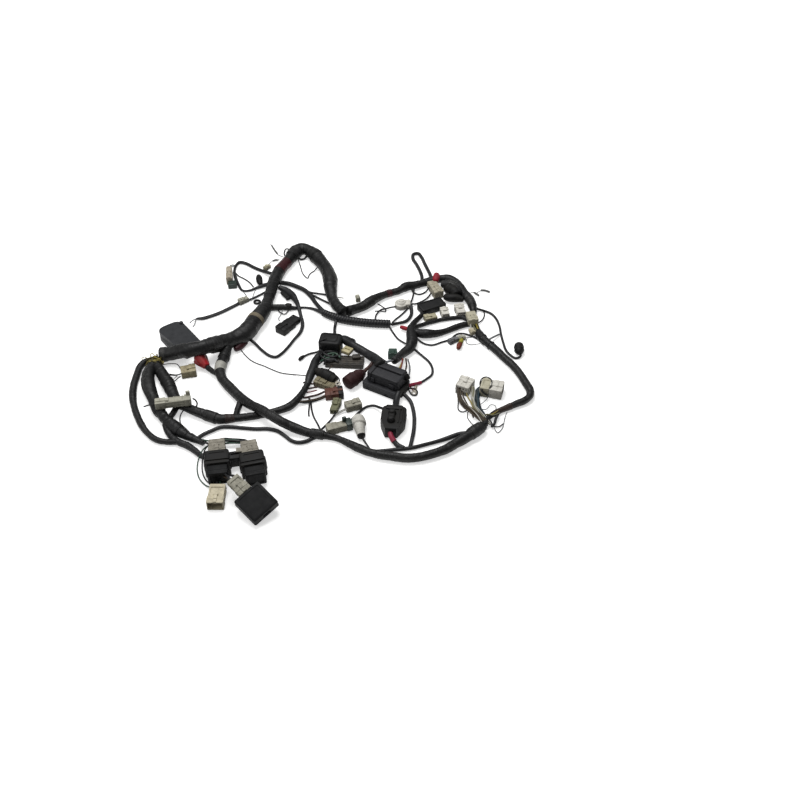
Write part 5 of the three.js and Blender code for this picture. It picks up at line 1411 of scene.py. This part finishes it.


# Thin wires that show between the housings: name, finish, radius, and points, in mm

THIN_WIRES = (
    ("upper_lead_strand_1", BLACK_WIRE, 1.8, [
        (-59, 197, 6), (-47, 192, 4), (-35, 191, 2.5), (-23, 188, 2.5), (-14, 178, 5)]),
    ("upper_lead_strand_2", BLACK_WIRE, 1.9, [
        (-52, 189, 6), (-43, 185, 3), (-31, 176, 2.5), (-18, 165, 3), (-7, 149, 8)]),
    ("arch_side_loop", BLACK_WIRE, 1.3, [
        (-84, 284, 12), (-95, 296, 4), (-103, 312, 2), (-101, 326, 3), (-91, 318, 6), (-83, 290, 12)]),
    ("arch_inner_loop", BLACK_WIRE, 1.9, [
        (-80, 306, 9), (-78, 300, 4), (-72, 294, 2.4), (-65, 297, 2.4), (-60, 302, 8)]),
    ("fuse_box_ring", BLACK_WIRE, 1.3, [
        (116, -55, 5), (122, -66, 1.6), (128, -67, 1.6), (130, -58, 1.6), (125, -53, 2), (117, -56, 6)]),
    ("side_connector_wire_1", BLACK_WIRE, 1.1, [
        (-101, 147, 3), (-94, 138, 2), (-87, 134, 2), (-81, 143, 3), (-79, 151, 6)]),
    ("side_connector_wire_2", GREY_WIRE, 0.7, [
        (-90, 148, 4), (-93, 133, 2), (-96, 122, 2), (-92, 112, 5)]),
    ("plug_end_loop", BLACK_WIRE, 1.0, [
        (1, -30, 6), (6, -24, 3), (11, -31, 1.6), (8, -41, 1.4), (1, -40, 4)]),
    ("ring_second_strand", BLACK_WIRE, 1.2, [
        (-184, 254, 3), (-176, 244, 1.5), (-167, 237, 1.5), (-156, 226, 1.5), (-146, 209, 3)]),
    ("front_loop", BLACK_WIRE, 1.5, [
        (123, 202, 8), (126, 196, 2.5), (136, 190, 1.6), (146, 195, 2), (155, 204, 7)]),
    ("right_branch_wire", BLACK_WIRE, 1.5, [
        (123, 158, 5), (131, 163, 2), (139, 168, 2), (150, 179, 2), (157, 191, 4)]),
    ("fuse_to_right_wire", BLACK_WIRE, 1.7, [
        (127, 76, 8), (131, 68, 4), (142, 57, 1.8), (155, 53, 1.6), (170, 60, 1.6), (184, 67, 2),
        (196, 79, 3), (206, 81, 3), (217, 77, 2), (228, 69, 2), (238, 50, 4)]),
    ("right_trunk_small_loop", BLACK_WIRE, 1.1, [
        (237, 143, 6), (243, 140, 2), (243, 129, 2), (239, 118, 2), (230, 106, 4)]),
    ("conduit_to_fuse_wire", BLACK_WIRE, 1.6, [
        (86, 97, 6), (93, 84, 2), (101, 68, 2), (109, 59, 2.5), (117, 47, 7)]),
    ("conduit_loop_wire", BLACK_WIRE, 1.6, [
        (91, 105, 6), (97, 120, 2), (106, 132, 1.8), (116, 148, 2), (122, 164, 3), (126, 181, 5),
        (128, 201, 7)]),
    ("pillar_wire", BLACK_WIRE, 2.6, [(0, 112, 7), (-2, 98, 3), (0, 63, 16)]),
    ("arch_wire", BLACK_WIRE, 1.0, [
        (-76, 287, 8), (-72, 277, 2), (-65, 251, 1.2), (-56, 238, 1.2), (-54, 248, 1.2),
        (-51, 254, 1.4), (-46, 260, 1.4), (-40, 265, 6)]),
    ("rear_wire", GREY_WIRE, 0.7, [
        (-131, 347, 1.2), (-123, 327, 1.2), (-115, 312, 1.2), (-108, 305, 2), (-98, 293, 7)]),
    ("inner_left_thin_wire", BLACK_WIRE, 0.9, [
        (-148, 35, 8), (-142, 31, 1.5), (-131, 17, 1.2), (-121, 9, 1.2), (-108, 2, 1.2),
        (-94, -7, 1.2), (-79, -15, 1.2), (-59, -19, 1.4), (-40, -27, 6)]),
    ("igniter_wire", BLACK_WIRE, 1.6, [
        (-162, 171, 2.2), (-170, 162, 2.2), (-178, 154.6, 2.2), (-195, 139.8, 2.2), (-210, 129.8, 2.2),
        (-221, 124.3, 2.4), (-230, 122, 2.6)]),
    ("igniter_thin_wire_1", GREY_WIRE, 0.9, [
        (-230, 122, 2.4), (-235, 117, 3), (-237, 109, 6), (-238, 100, 9)]),
    ("igniter_thin_wire_2", GREY_WIRE, 0.9, [
        (-231, 120, 2.4), (-231, 111, 4), (-230, 100, 7), (-231, 90, 9)]),
    ("beige_wire_1", BLACK_WIRE, 0.7, [
        (-264, -1, 6), (-259, 6, 2), (-252, 7, 1.5), (-245, 6, 2), (-239, -2, 4), (-235, -11, 6)]),
    ("beige_wire_2", GREY_WIRE, 0.6, [(-245, -34, 4), (-242, -29, 2), (-239, -24, 3), (-235, -22, 5)]),
    ("beige_wire_3", BLACK_WIRE, 0.9, [
        (-243, -41, 5), (-240, -35, 2.5), (-236, -30, 3.5), (-232, -27, 5)]),
    ("trunk_tie_tail_1", YELLOW_WIRE, 0.6, [
        (-281, -1, 14), (-290, 11, 9), (-297, 19, 5), (-301, 19, 2.5), (-298, 13, 2)]),
    ("trunk_tie_tail_2", YELLOW_WIRE, 0.6, [
        (-280, 1, 16), (-284, 11, 15), (-283, 19, 13), (-278, 11, 15)]),
    ("inline_wire_1", BLACK_WIRE, 1.2, [
        (-201, -97, 22), (-198, -94, 16), (-196, -95, 10), (-197, -101, 8)]),
    ("inline_wire_2", BLACK_WIRE, 1.1, [
        (-253, -107, 22), (-261, -106, 18), (-269, -102, 12), (-275, -100, 8)]),
    ("middle_side_wire", BLACK_WIRE, 0.9, [
        (-214, -108, 9), (-219, -109, 1.6), (-219, -119, 1.3), (-216, -129, 1.3), (-206, -141, 2),
        (-196, -156, 6)]),
    ("side_lever_wire", GREY_BLACK_TAPE, 1.8, [
        (-50, 20, 2), (-45, 26, 2), (-38, 31, 2), (-29, 33, 3), (-20, 31, 8)]),
    ("plug_wire_1", RED_BROWN_SLEEVE, 1.4, [(-44, -43, 5), (-38, -39, 4), (-30, -45, 5), (-22, -45, 7)]),
    ("plug_wire_2", RED_BROWN_SLEEVE, 1.5, [(-45, -51, 4), (-38, -53, 2.5), (-29, -52, 3), (-20, -52, 5)]),
    ("plug_wire_3", RED_WIRE, 1.1, [(-47, -60, 4), (-39, -61, 2), (-30, -60, 2.5), (-21, -58, 4)]),
    ("plug_wire_4", RED_BROWN_SLEEVE, 1.7, [
        (-48, -71, 4), (-40, -73, 2), (-30, -70, 2), (-19, -67, 3), (-9, -62, 5)]),
    ("plug_wire_5", BLACK_WIRE, 1.5, [
        (-48, -82, 5), (-41, -84, 2), (-30, -83, 2), (-19, -78, 2), (-9, -72, 2.5), (0, -66, 4)]),
    ("bullet_wire_1", BLACK_WIRE, 1.4, [
        (-33, -74, 2.5), (-29, -84, 1.6), (-27, -98, 1.6), (-23, -114, 1.6), (-15, -133, 1.6),
        (-8, -155, 4)]),
    ("bullet_wire_2", BLACK_WIRE, 1.3, [
        (-31, -76, 4), (-31, -92, 1.5), (-31, -104, 1.4), (-30, -114, 1.4)]),
    ("fuse_wire_1", BLUE_GREY_WIRE, 1.3, [(70, -20, 22), (80, -10, 19), (91, -4, 17), (101, 3, 14)]),
    ("fuse_wire_2", GREY_WIRE, 1.3, [(72, -27, 27), (83, -18, 25), (93, -9, 21), (102, 1, 15)]),
    ("fuse_wire_3", RED_WIRE, 1.3, [(99, -48, 24), (104, -33, 22), (107, -13, 18), (108, 6, 13)]),
    ("fuse_wire_4", BROWN_WIRE, 1.3, [(105, -52, 20), (111, -34, 17), (114, -11, 14), (113, 9, 11)]),
    ("fuse_wire_5", GREY_WIRE, 1.3, [(110, -52, 12), (117, -34, 11), (119, -11, 10), (116, 9, 10)]),
    ("fuse_wire_6", YELLOW_WIRE, 1.3, [(94, -46, 27), (101, -33, 23), (106, -14, 18), (109, 6, 12)]),
    ("starter_wire_2", RED_WIRE, 0.9, [(85, -152, 16), (88, -158, 12), (91, -164, 8)]),
    ("white_left_wire_1", BROWN_WIRE, 1.1, [
        (212, -119, 3), (209, -104, 3), (204, -89, 4), (199, -76, 6), (197, -65, 8)]),
    ("white_left_wire_2", YELLOW_WIRE, 1.1, [
        (215, -118, 4), (213, -101, 3), (210, -87, 4), (205, -74, 6), (203, -62, 8)]),
    ("white_left_wire_3", WHITE_WIRE, 1.1, [
        (218, -117, 5), (218, -100, 4), (215, -86, 5), (211, -74, 7), (209, -60, 8)]),
    ("white_left_wire_4", TEAL_WIRE, 1.1, [
        (221, -118, 4), (220, -104, 4), (219, -87, 4), (215, -75, 6), (213, -60, 7)]),
    ("white_tangle_1", BROWN_WIRE, 1.3, [(199, -96, 4), (207, -109, 6), (215, -121, 7), (225, -133, 6)]),
    ("white_tangle_2", PALE_SLEEVE, 0.9, [(214, -94, 6), (219, -106, 7), (227, -124, 8), (235, -135, 4)]),
    ("white_tangle_3", WHITE_WIRE, 0.7, [(216, -97, 7), (223, -112, 9), (231, -126, 8), (239, -137, 4)]),
    ("white_tangle_4", YELLOW_WIRE, 0.9, [(251, -105, 8), (239, -116, 8), (228, -118, 8), (221, -123, 7)]),
    ("white_tangle_5", PALE_SLEEVE, 0.9, [(251, -113, 8), (240, -119, 9), (231, -117, 9), (224, -122, 8)]),
    ("white_tangle_6", BLACK_WIRE, 2.2, [(249, -112, 7), (244, -123, 5), (241, -133, 4), (236, -139, 4)]),
    ("white_tangle_7", GREEN_WIRE, 1.2, [(218, -98, 6), (226, -114, 6), (234, -128, 5), (240, -138, 4)]),
    ("white_tangle_8", BLACK_WIRE, 1.8, [(222, -102, 5), (229, -117, 5), (236, -129, 5), (238, -139, 4)]),
    ("white_tangle_stub", BLACK_WIRE, 1.0, [
        (236, -136, 4), (241, -136, 2), (248, -136, 2), (255, -129, 1.6)]),
    ("white_right_wire_1", BLACK_WIRE, 1.4, [
        (230, -45, 14), (225, -58, 16), (225, -68, 15), (230, -74, 11), (236, -75, 8)]),
    ("white_right_wire_3", TEAL_WIRE, 1.4, [
        (227, -61, 9), (224, -68, 5), (221, -79, 3), (218, -93, 3), (214, -109, 4)]),
    ("white_outer_loop_1", BLACK_WIRE, 1.0, [
        (193, -51, 6), (192, -62, 2), (191, -82, 1.2), (191, -100, 1.4), (197, -104, 1.5), (204, -103, 4)]),
    ("white_outer_loop_2", BLACK_WIRE, 0.7, [
        (205, -103, 4), (203, -114, 1.5), (206, -124, 1.5), (212, -137, 4)]),
    ("white_outer_loop_3", GREY_WIRE, 0.7, [
        (262, -108, 6), (258, -117, 1.5), (255, -131, 1.2), (253, -138, 1.2), (245, -148, 1.2),
        (240, -138, 3)]),
    ("white_outer_loop_4", GREY_WIRE, 0.7, [
        (219, -101, 5), (231, -100, 3), (239, -89, 2), (245, -90, 2), (246, -100, 4), (242, -107, 6)]),
    ("white_outer_loop_5", GREY_WIRE, 0.6, [
        (237, -70, 8), (235, -76, 4), (231, -81, 3), (225, -88, 3), (219, -94, 5)]),
    ("front_white_wire_1", YELLOW_WIRE, 1.6, [(225, 100, 14), (228, 94, 10), (230, 88, 7), (233, 77, 5)]),
    ("front_white_wire_2", PALE_SLEEVE, 1.6, [(221, 97, 14), (223, 93, 9), (227, 85, 6), (231, 75, 5)]),
    ("front_white_wire_3", WHITE_WIRE, 1.5, [(218, 96, 13), (219, 89, 8), (223, 83, 5), (229, 71, 5)]),
    ("small_plug_wire_1", BLACK_WIRE, 0.7, [(204, 75, 3), (212, 73, 1.5), (220, 74, 1.5), (226, 75, 4)]),
    ("small_plug_wire_2", GREY_WIRE, 0.6, [
        (212, 71, 2), (210, 60, 1.1), (217, 55, 1.1), (225, 56, 1.1), (233, 55, 3)]),
    ("trunk_tie_tail_3", GREY_WIRE, 1.6, [(245, 57, 9), (250, 64, 7), (256, 71, 5), (265, 81, 2)]),
    ("round_cap_wire", BLACK_WIRE, 1.5, [
        (97, 148, 7), (89, 150, 4), (81, 148, 3), (72, 145, 2.5), (65, 132, 2.5), (63, 110, 6)]),
    ("bullet_lead_1", GREY_WIRE, 0.6, [(220, 182, 6), (225, 193, 3), (230, 195, 2), (235, 193, 2)]),
    ("bullet_lead_2", GREY_WIRE, 0.6, [(231, 189, 2), (238, 198, 1.5), (244, 202, 1.5)]),
    ("relay_wire_1", GREEN_WIRE, 1.0, [
        (-163, -187, 16), (-172, -192, 12), (-178, -205, 5), (-178, -222, 2), (-172, -240, 1.4),
        (-161, -253, 1.6), (-151, -259, 4), (-147, -263, 7)]),
    ("relay_wire_2", BLACK_WIRE, 1.0, [
        (-161, -187, 19), (-169, -194, 14), (-172, -210, 5), (-169, -230, 1.6), (-160, -246, 1.6),
        (-148, -255, 4), (-141, -263, 7)]),
    ("relay_wire_3", BLACK_WIRE, 1.4, [
        (-150, -184, 17), (-151, -175, 14), (-146, -167, 8), (-136, -165, 5), (-124, -168, 7),
        (-114, -176, 13), (-110, -185, 17)]),
    ("relay_wire_4", GREEN_WIRE, 1.3, [
        (-155, -184, 13), (-157, -176, 10), (-150, -170, 8), (-135, -169, 7), (-121, -172, 8),
        (-112, -180, 13), (-106, -188, 15)]),
    ("relay_wire_5", GREEN_WIRE, 1.3, [
        (-158, -185, 16), (-162, -178, 14), (-166, -174, 10), (-173, -170, 7), (-183, -166, 6),
        (-194, -160, 8)]),
    ("relay_wire_6", BLACK_WIRE, 1.5, [
        (-162, -186, 12), (-168, -181, 12), (-172, -175, 8), (-178, -169, 6), (-186, -163, 6),
        (-196, -157, 9)]),
    ("relay_wire_7", BLACK_WIRE, 1.5, [
        (-164, -189, 18), (-170, -184, 16), (-176, -180, 10), (-182, -172, 6), (-190, -163, 7),
        (-199, -156, 9)]),
    ("grey_connector_loop", BLACK_WIRE, 1.3, [
        (-128, -262, 20), (-127, -254, 22), (-121, -250, 18), (-116, -254, 12), (-113, -262, 8)]),
    ("long_lead_connector_wire_1", BLACK_WIRE, 0.7, [
        (-163, 196, 3), (-158, 190, 1.5), (-154, 181, 1.5), (-150, 175, 2)]),
    ("long_lead_connector_wire_2", GREY_WIRE, 0.7, [
        (-141, 199, 5), (-144, 193, 2), (-145, 182, 2), (-146, 169, 3)]),
    ("olive_wire", GREY_WIRE, 0.7, [(-130, 273, 2.5), (-125, 285, 2), (-118, 292, 2.5), (-108, 288, 6)]),
    ("cap_link_wire", WHITE_WIRE, 0.9, [(-13, 160, 6), (-9, 174, 4), (-1, 179, 3), (10, 176, 4)]),
    ("carrier_wire_1", BLACK_WIRE, 1.1, [(-24, 23, 16), (-23, 18, 10), (-18, 12, 5), (-10, 5, 5)]),
    ("carrier_wire_2", WHITE_WIRE, 0.8, [(-19, 22, 15), (-17, 17, 10), (-11, 12, 7)]),
    ("carrier_wire_3", GREEN_WIRE, 0.8, [(-15, 19, 15), (-13, 14, 10), (-7, 8, 6)]),
    ("carrier_wire_4", BLACK_WIRE, 1.1, [(-8, 16, 16), (-10, 12, 9), (-18, 7, 5), (-25, -4, 6)]),
    ("carrier_wire_5", BROWN_WIRE, 0.9, [(-4, 16, 14), (0, 8, 10), (-1, -2, 6), (-7, -14, 6)]),
    ("fuse_to_starter_link", BLACK_WIRE, 5.0, [
        (103, -70, 12), (99, -84, 9), (98, -98, 10), (98, -111, 15)]),
    ("white_right_ring", GREY_BLACK_TAPE, 0.9, [
        (228, -70, 15), (224, -62, 17), (225, -53, 18), (229, -46, 18), (235, -44, 18), (241, -49, 18),
        (242, -58, 18), (239, -67, 17), (234, -71, 15)]),
    ("block_plug_wire_1", BLACK_WIRE, 2.0, [(-24, 23, 14), (-17, 8, 14), (-6, 1, 13), (6, 5, 12)]),
    ("block_plug_wire_2", BLACK_WIRE, 2.2, [(-21, 30, 15), (-13, 13, 16), (0, 8, 14), (10, 14, 13)]),
    ("block_plug_wire_3", GREEN_WIRE, 1.6, [(-17, 6, 11), (-10, 12, 15), (3, 16, 15), (12, 8, 12)]),
    ("block_plug_wire_4", BLACK_WIRE, 2.0, [(-23, 14, 11), (-13, 20, 15), (-4, 18, 17), (7, 20, 14)]),
    ("block_plug_wire_5", GREEN_WIRE, 1.5, [(-20, 3, 9), (-12, 4, 14), (-2, 10, 14), (2, 19, 14)]),
    ("block_plug_wire_6", BLACK_WIRE, 1.8, [(-14, -4, 8), (-9, 3, 13), (1, 4, 13), (9, -1, 10)]),
    ("front_hook_wire", BLACK_WIRE, 1.1, [
        (62, 134, 8), (72, 141, 3), (79, 139, 3), (80, 147, 2), (73, 155, 3), (66, 155, 8)]),
    ("block_hook", BLACK_WIRE, 2.0, [(5, 52, 17), (16, 56, 17), (25, 53, 15), (32, 50, 13), (31, 44, 10)]),
    ("eyelet_wire", RED_WIRE, 1.0, [(119, -51, 5), (122, -54, 3), (124, -58, 2)]),
)
for name, finish, radius, points in THIN_WIRES:
    wire(name, points, radius, finish)


# Tape, heat-shrink and ties round the bundles: name, bundle, start and end along it, finish, thickness

BANDS = (
    ("rear_red_band", "rear_trunk_tape", 338, 372, RED_TAPE, 0.5),
    ("arch_loose_tape", "rear_trunk_tape", 388, 410, GREY_BLACK_TAPE, 1.5),
    ("arch_second_wrap", "rear_trunk_tape", 438, 462, HARNESS_TAPE, 1.0),
    ("rear_beige_tape", "rear_trunk_tape", 186, 197, BEIGE_TAPE, 0.5),
    ("junction_lump", "rear_trunk_tape", 86, 104, GREY_BLACK_TAPE, 1.3),
    ("rear_end_wrap", "rear_trunk_tape", 3, 14, GREY_BLACK_TAPE, 0.8),
    ("rear_joint_wrap", "rear_trunk_tape", 262, 300, HARNESS_TAPE, 1.2),
    ("front_red_band", "front_trunk_tape", 84, 96, RED_TAPE, 0.4),
    ("front_second_wrap", "front_trunk_tape", 118, 150, HARNESS_TAPE, 0.8),
    ("front_grey_sleeve", "front_trunk_tape", 258, 292, GREY_BLACK_TAPE, 0.6),
    ("right_joint_wrap", "right_trunk_tape", 8, 26, HARNESS_TAPE, 0.9),
    ("right_end_wrap", "right_trunk_tape", 214, 250, BROWN_TAPE, 0.5),
    ("right_cable_tie", "right_trunk_tape", 44, 47, BLACK_WIRE, 1.1),
    ("lower_start_wrap", "lower_trunk_tape", 6, 30, GREY_BLACK_TAPE, 0.9),
    ("lower_joint_wrap", "lower_trunk_tape", 262, 284, HARNESS_TAPE, 1.0),
    ("silver_tape", "lower_trunk_tape", 492, 510, SILVER_TAPE, 0.5),
    ("drop_lump", "lower_trunk_tape", 522, 538, HARNESS_TAPE, 1.2),
    ("middle_brown_tape", "middle_bundle_tape", 182, 198, BROWN_TAPE, 0.4),
    ("middle_joint_wrap", "middle_bundle_tape", 150, 172, HARNESS_TAPE, 0.9),
    ("middle_lower_wrap", "middle_bundle_tape", 44, 70, HARNESS_TAPE, 0.9),
    ("inner_left_wrap", "inner_left_tape", 90, 118, HARNESS_TAPE, 0.8),
    ("inner_left_lower_wrap", "inner_left_tape", 150, 172, HARNESS_TAPE, 0.9),
    ("battery_heat_shrink", "battery_sleeve", 96, 130, PINK_SHRINK, 0.8),
    ("starter_heat_shrink", "starter_tail_sleeve", 2, 22, PINK_SHRINK, 0.7),
    ("horizontal_wrap", "horizontal_sleeve", 8, 58, HARNESS_TAPE, 0.4),
)
for name, bundle_name, start, end, finish, thickness in BANDS:
    band(name, bundle_name, start, end, finish, thickness)


# Small pieces that lie on the loom

SMALL_CONNECTORS = (
    ("lead_clip_connector", (10, 18, 9), (-159, 169, 0), -52, PALE_GREY_NYLON, "grey_nylon", {"ribs": 2}),
    ("lead_flap", (14, 23, 6), (-87, 184, 2), 36, BLACK_NYLON, "black_nylon", {"latch": 0, "collar": 0.3}),
    ("olive_clip_connector", (8, 14, 7), (-129, 268, 0), -38, YELLOW_GREEN_NYLON, "aged_nylon",
     {"ways": (2, 1)}),
    ("front_stub_connector", (8, 13, 8), (33, 172, 3), 12, PALE_GREY_NYLON, "grey_nylon", {"ways": (2, 1)}),
    ("mottled_connector", (14, 34, 10), (-10, -46, 0), -117, MOTTLED_NYLON, "aged_nylon",
     {"steps": 2, "ribs": 2, "ways": (3, 1)}),
    ("olive_white_connector", (14, 21, 9), (154, 121, 0), -70, YELLOW_GREEN_NYLON, "aged_nylon",
     {"ribs": 2}),
    ("small_beige_connector", (9, 12, 7), (220, 82, 3), 20, IVORY_NYLON, "aged_nylon", {"ways": (2, 1)}),
    ("blue_grey_connector", (9, 17, 8), (189, 62, 0), -58, BLUE_GREY_NYLON, "grey_nylon", {"ways": (2, 1)}),
    ("grey_pair_connector", (8, 13, 7), (203, 69, 0), -75, PALE_GREY_NYLON, "grey_nylon", {"ways": (2, 1)}),
)
for name, size, place, turn, finish, slot, details in SMALL_CONNECTORS:
    moulding(connector_shell(*size, **details), name, finish, slot, place, turn)


# Small boots, caps and sleeves: name, finish, slot, and points with a radius at each, in mm
SOFT_CAPS = (
    ("red_cap", CRIMSON_RUBBER, "red_rubber",
     [(164, 212, 12, 4.2), (166, 220, 13.5, 6.4), (167, 232, 13, 5.2)]),
    ("crimson_tape_end", CRIMSON_TAPE, "vinyl_tape",
     [(-157, 36, 6, 4), (-150, 45, 5.5, 6), (-142, 59, 5, 5)]),
    ("side_lever_end", BLACK_RUBBER, "black_rubber",
     [(-54, 14, 2.6, 2.2), (-51, 19, 3, 3.2), (-46, 25, 2.6, 2)]),
    ("plug_cluster_wrap_1", GREY_BLACK_TAPE, "vinyl_tape",
     [(174, 210, 9, 6), (186, 206, 10, 8.6), (197, 197, 10, 8.6), (206, 184, 9, 6)]),
    ("plug_cluster_wrap_2", BLACK_RUBBER, "black_rubber",
     [(178, 176, 7, 5), (188, 171, 8, 7), (200, 170, 8, 7), (211, 166, 8, 4)]),
    ("crimson_plug", CRIMSON_RUBBER, "red_rubber", [(104, 95, 6, 2.4), (110, 92, 6, 3.6), (118, 87, 7, 3)]),
    ("yellow_plug_end", YELLOW_RUBBER, "aged_nylon",
     [(203, 64, 5, 2.6), (202, 59, 5, 3.6), (200, 54, 5, 3.8)]),
    ("red_plug_end", RUST_RUBBER, "red_rubber", [(200, 53, 5, 3.9), (198, 47, 5, 4.3), (196, 40, 4.6, 3)]),
    ("ring_lead_boot", BLACK_RUBBER, "black_rubber",
     [(-141, 240, 5, 3.4), (-139, 231, 6, 5.6), (-137, 221, 6.2, 5.4), (-134, 212, 6, 3.4)]),
    ("rear_wire_sheath", GREY_SLEEVE_PALE, "sleeving",
     [(-128, 340, 2, 1.4), (-122, 326, 2, 1.5), (-115, 313, 2, 1.3)]),
    ("bullet_1", GREY_SLEEVE_PALE, "sleeving",
     [(241, 202, 2, 1.4), (249, 201, 2, 1.8), (257, 196, 2, 1.7)]),
    ("bullet_2", GREY_SLEEVE_PALE, "sleeving",
     [(229, 196, 2, 1.2), (233, 192, 2, 1.7), (238, 186, 2, 1.5)]),
    ("olive_wire_bullet", GREY_SLEEVE_PALE, "sleeving",
     [(-122, 289, 2.5, 1.4), (-116, 292, 2.6, 1.7), (-111, 290, 3.4, 1.4)]),
    ("bulb_holder_seal", BLACK_RUBBER, "black_rubber", [(48, -157.5, 7.2, 6.2), (49.4, -163, 6.8, 5.8)]),
    ("fuse_box_relay_1", BLACK_RUBBER, "black_rubber",
     [(66, -30, 27, 5), (73, -26, 30, 5.5), (80, -23, 27, 5)]),
    ("fuse_box_relay_2", BLACK_RUBBER, "black_rubber",
     [(107, -44, 24, 4), (112, -48, 24, 5), (117, -52, 19, 4)]),
    ("black_lead_boot", BLACK_RUBBER, "black_rubber",
     [(-88, 150, 6, 3.4), (-84, 150, 6, 5.6), (-76, 149, 6, 5.2)]),
)
for name, finish, slot, points in SOFT_CAPS:
    tube(name, in_metres(points), smooth_sleeve, finish, slot, 22, MOULDED_SPACING, seed=len(name))


def tie_tangle():
    """The olive and yellow wire ties that hold the ends of the trunk and of two bundles together."""
    rings, points_per_ring, points_per_turn = 16, 15, 13
    rng = np.random.default_rng(11)
    for number in range(rings):
        lean = Matrix.Rotation(rng.uniform(-0.9, 0.9), 3, "X")
        lean = lean @ Matrix.Rotation(rng.uniform(-0.7, 0.7), 3, "Z")
        middle = Vector((-276 + rng.uniform(-3, 3), -1 + rng.uniform(-8, 7), 10))
        width, height = rng.uniform(7, 11), rng.uniform(5, 9)
        points = []
        for i in range(points_per_ring):
            angle = 2 * math.pi * i / points_per_turn + rng.uniform(-0.1, 0.1)
            point = middle + lean @ Vector((width * math.cos(angle), 1.6 * angle, height * math.sin(angle)))
            points.append((point.x, point.y, max(point.z, 1.2)))
        finish = (TIE_WIRE, TIE_WIRE, YELLOW_WIRE, TIE_WIRE)[number % 4]
        wire("tie_ring_" + str(number + 1), points, 1.1, finish)


def white_pair_strands():
    """The coloured wires that show round the three leads of the two white connectors."""
    for name, route, finishes in (
        ("left_pair_strand", WA_LEAD_LEFT, (BROWN_WIRE, GREY_WIRE, BROWN_WIRE, WHITE_WIRE)),
        ("middle_pair_strand", WA_LEAD_RIGHT, (WHITE_WIRE, YELLOW_WIRE, PALE_SLEEVE, GREEN_WIRE)),
        ("right_pair_strand", WB_LEAD, (TEAL_WIRE, BLACK_WIRE, BLUE_GREY_WIRE, TEAL_WIRE)),
    ):
        strands(name, route, 6, 0.9, finishes, outside=1.0)


def red_shrink():
    """The flared red heat-shrink where the thin branch leaves the rear trunk: creased and glossy."""
    points = [(-194, -9, 8.5, 4.8), (-199, -3, 10.5, 7.4), (-204, 3, 12, 9.8), (-209, 10, 13, 11.2)]

    def creased(places, angles, radius, seed):
        around = np.cos(3 * angles + 0.6)[None, :] * 0.11 + np.cos(7 * angles)[None, :] * 0.05
        return radius[:, None] * around

    route = in_metres(points)
    tube("red_shrink_flare", route, creased, RED_SHRINK, "red_rubber", sides=36, spacing=0.8 * MM)


def eyelet(name, place, turn):
    """A ring terminal: the ring and its tongue of one sheet, and a rolled crimp barrel."""
    ring = rod(4.4, 1.0, along="z", sides=32)
    tongue = slab(4.4, 9, 1.0, at=(0, 6, -0.5), corner=0.5, edge=0)
    barrel = rod(2.3, 8, at=(0, 12, 0.9), rim=0.3, sides=20)
    piece = cut(fuse(ring, tongue, barrel), rod(2.4, 6, along="z", sides=28), rod(1.5, 6, at=(0, 16, 0.9)))
    moulding(piece, name, TINNED_BRASS, "grey_nylon", place, turn)


def grommet(name, place, outer, inner):
    ring = rod(outer, 3.4, along="z", rim=1.2, sides=32)
    moulding(cut(ring, rod(inner, 8, along="z", sides=28)), name, BLACK_RUBBER, "black_rubber", place)


red_shrink()
eyelet("battery_eyelet", (125, -62, 1.4), -14)
eyelet("plug_eyelet", (10, -49, 9), 30)
grommet("lead_grommet", (-136, 168, 2), 6.6, 3.6)
tie_tangle()
white_pair_strands()
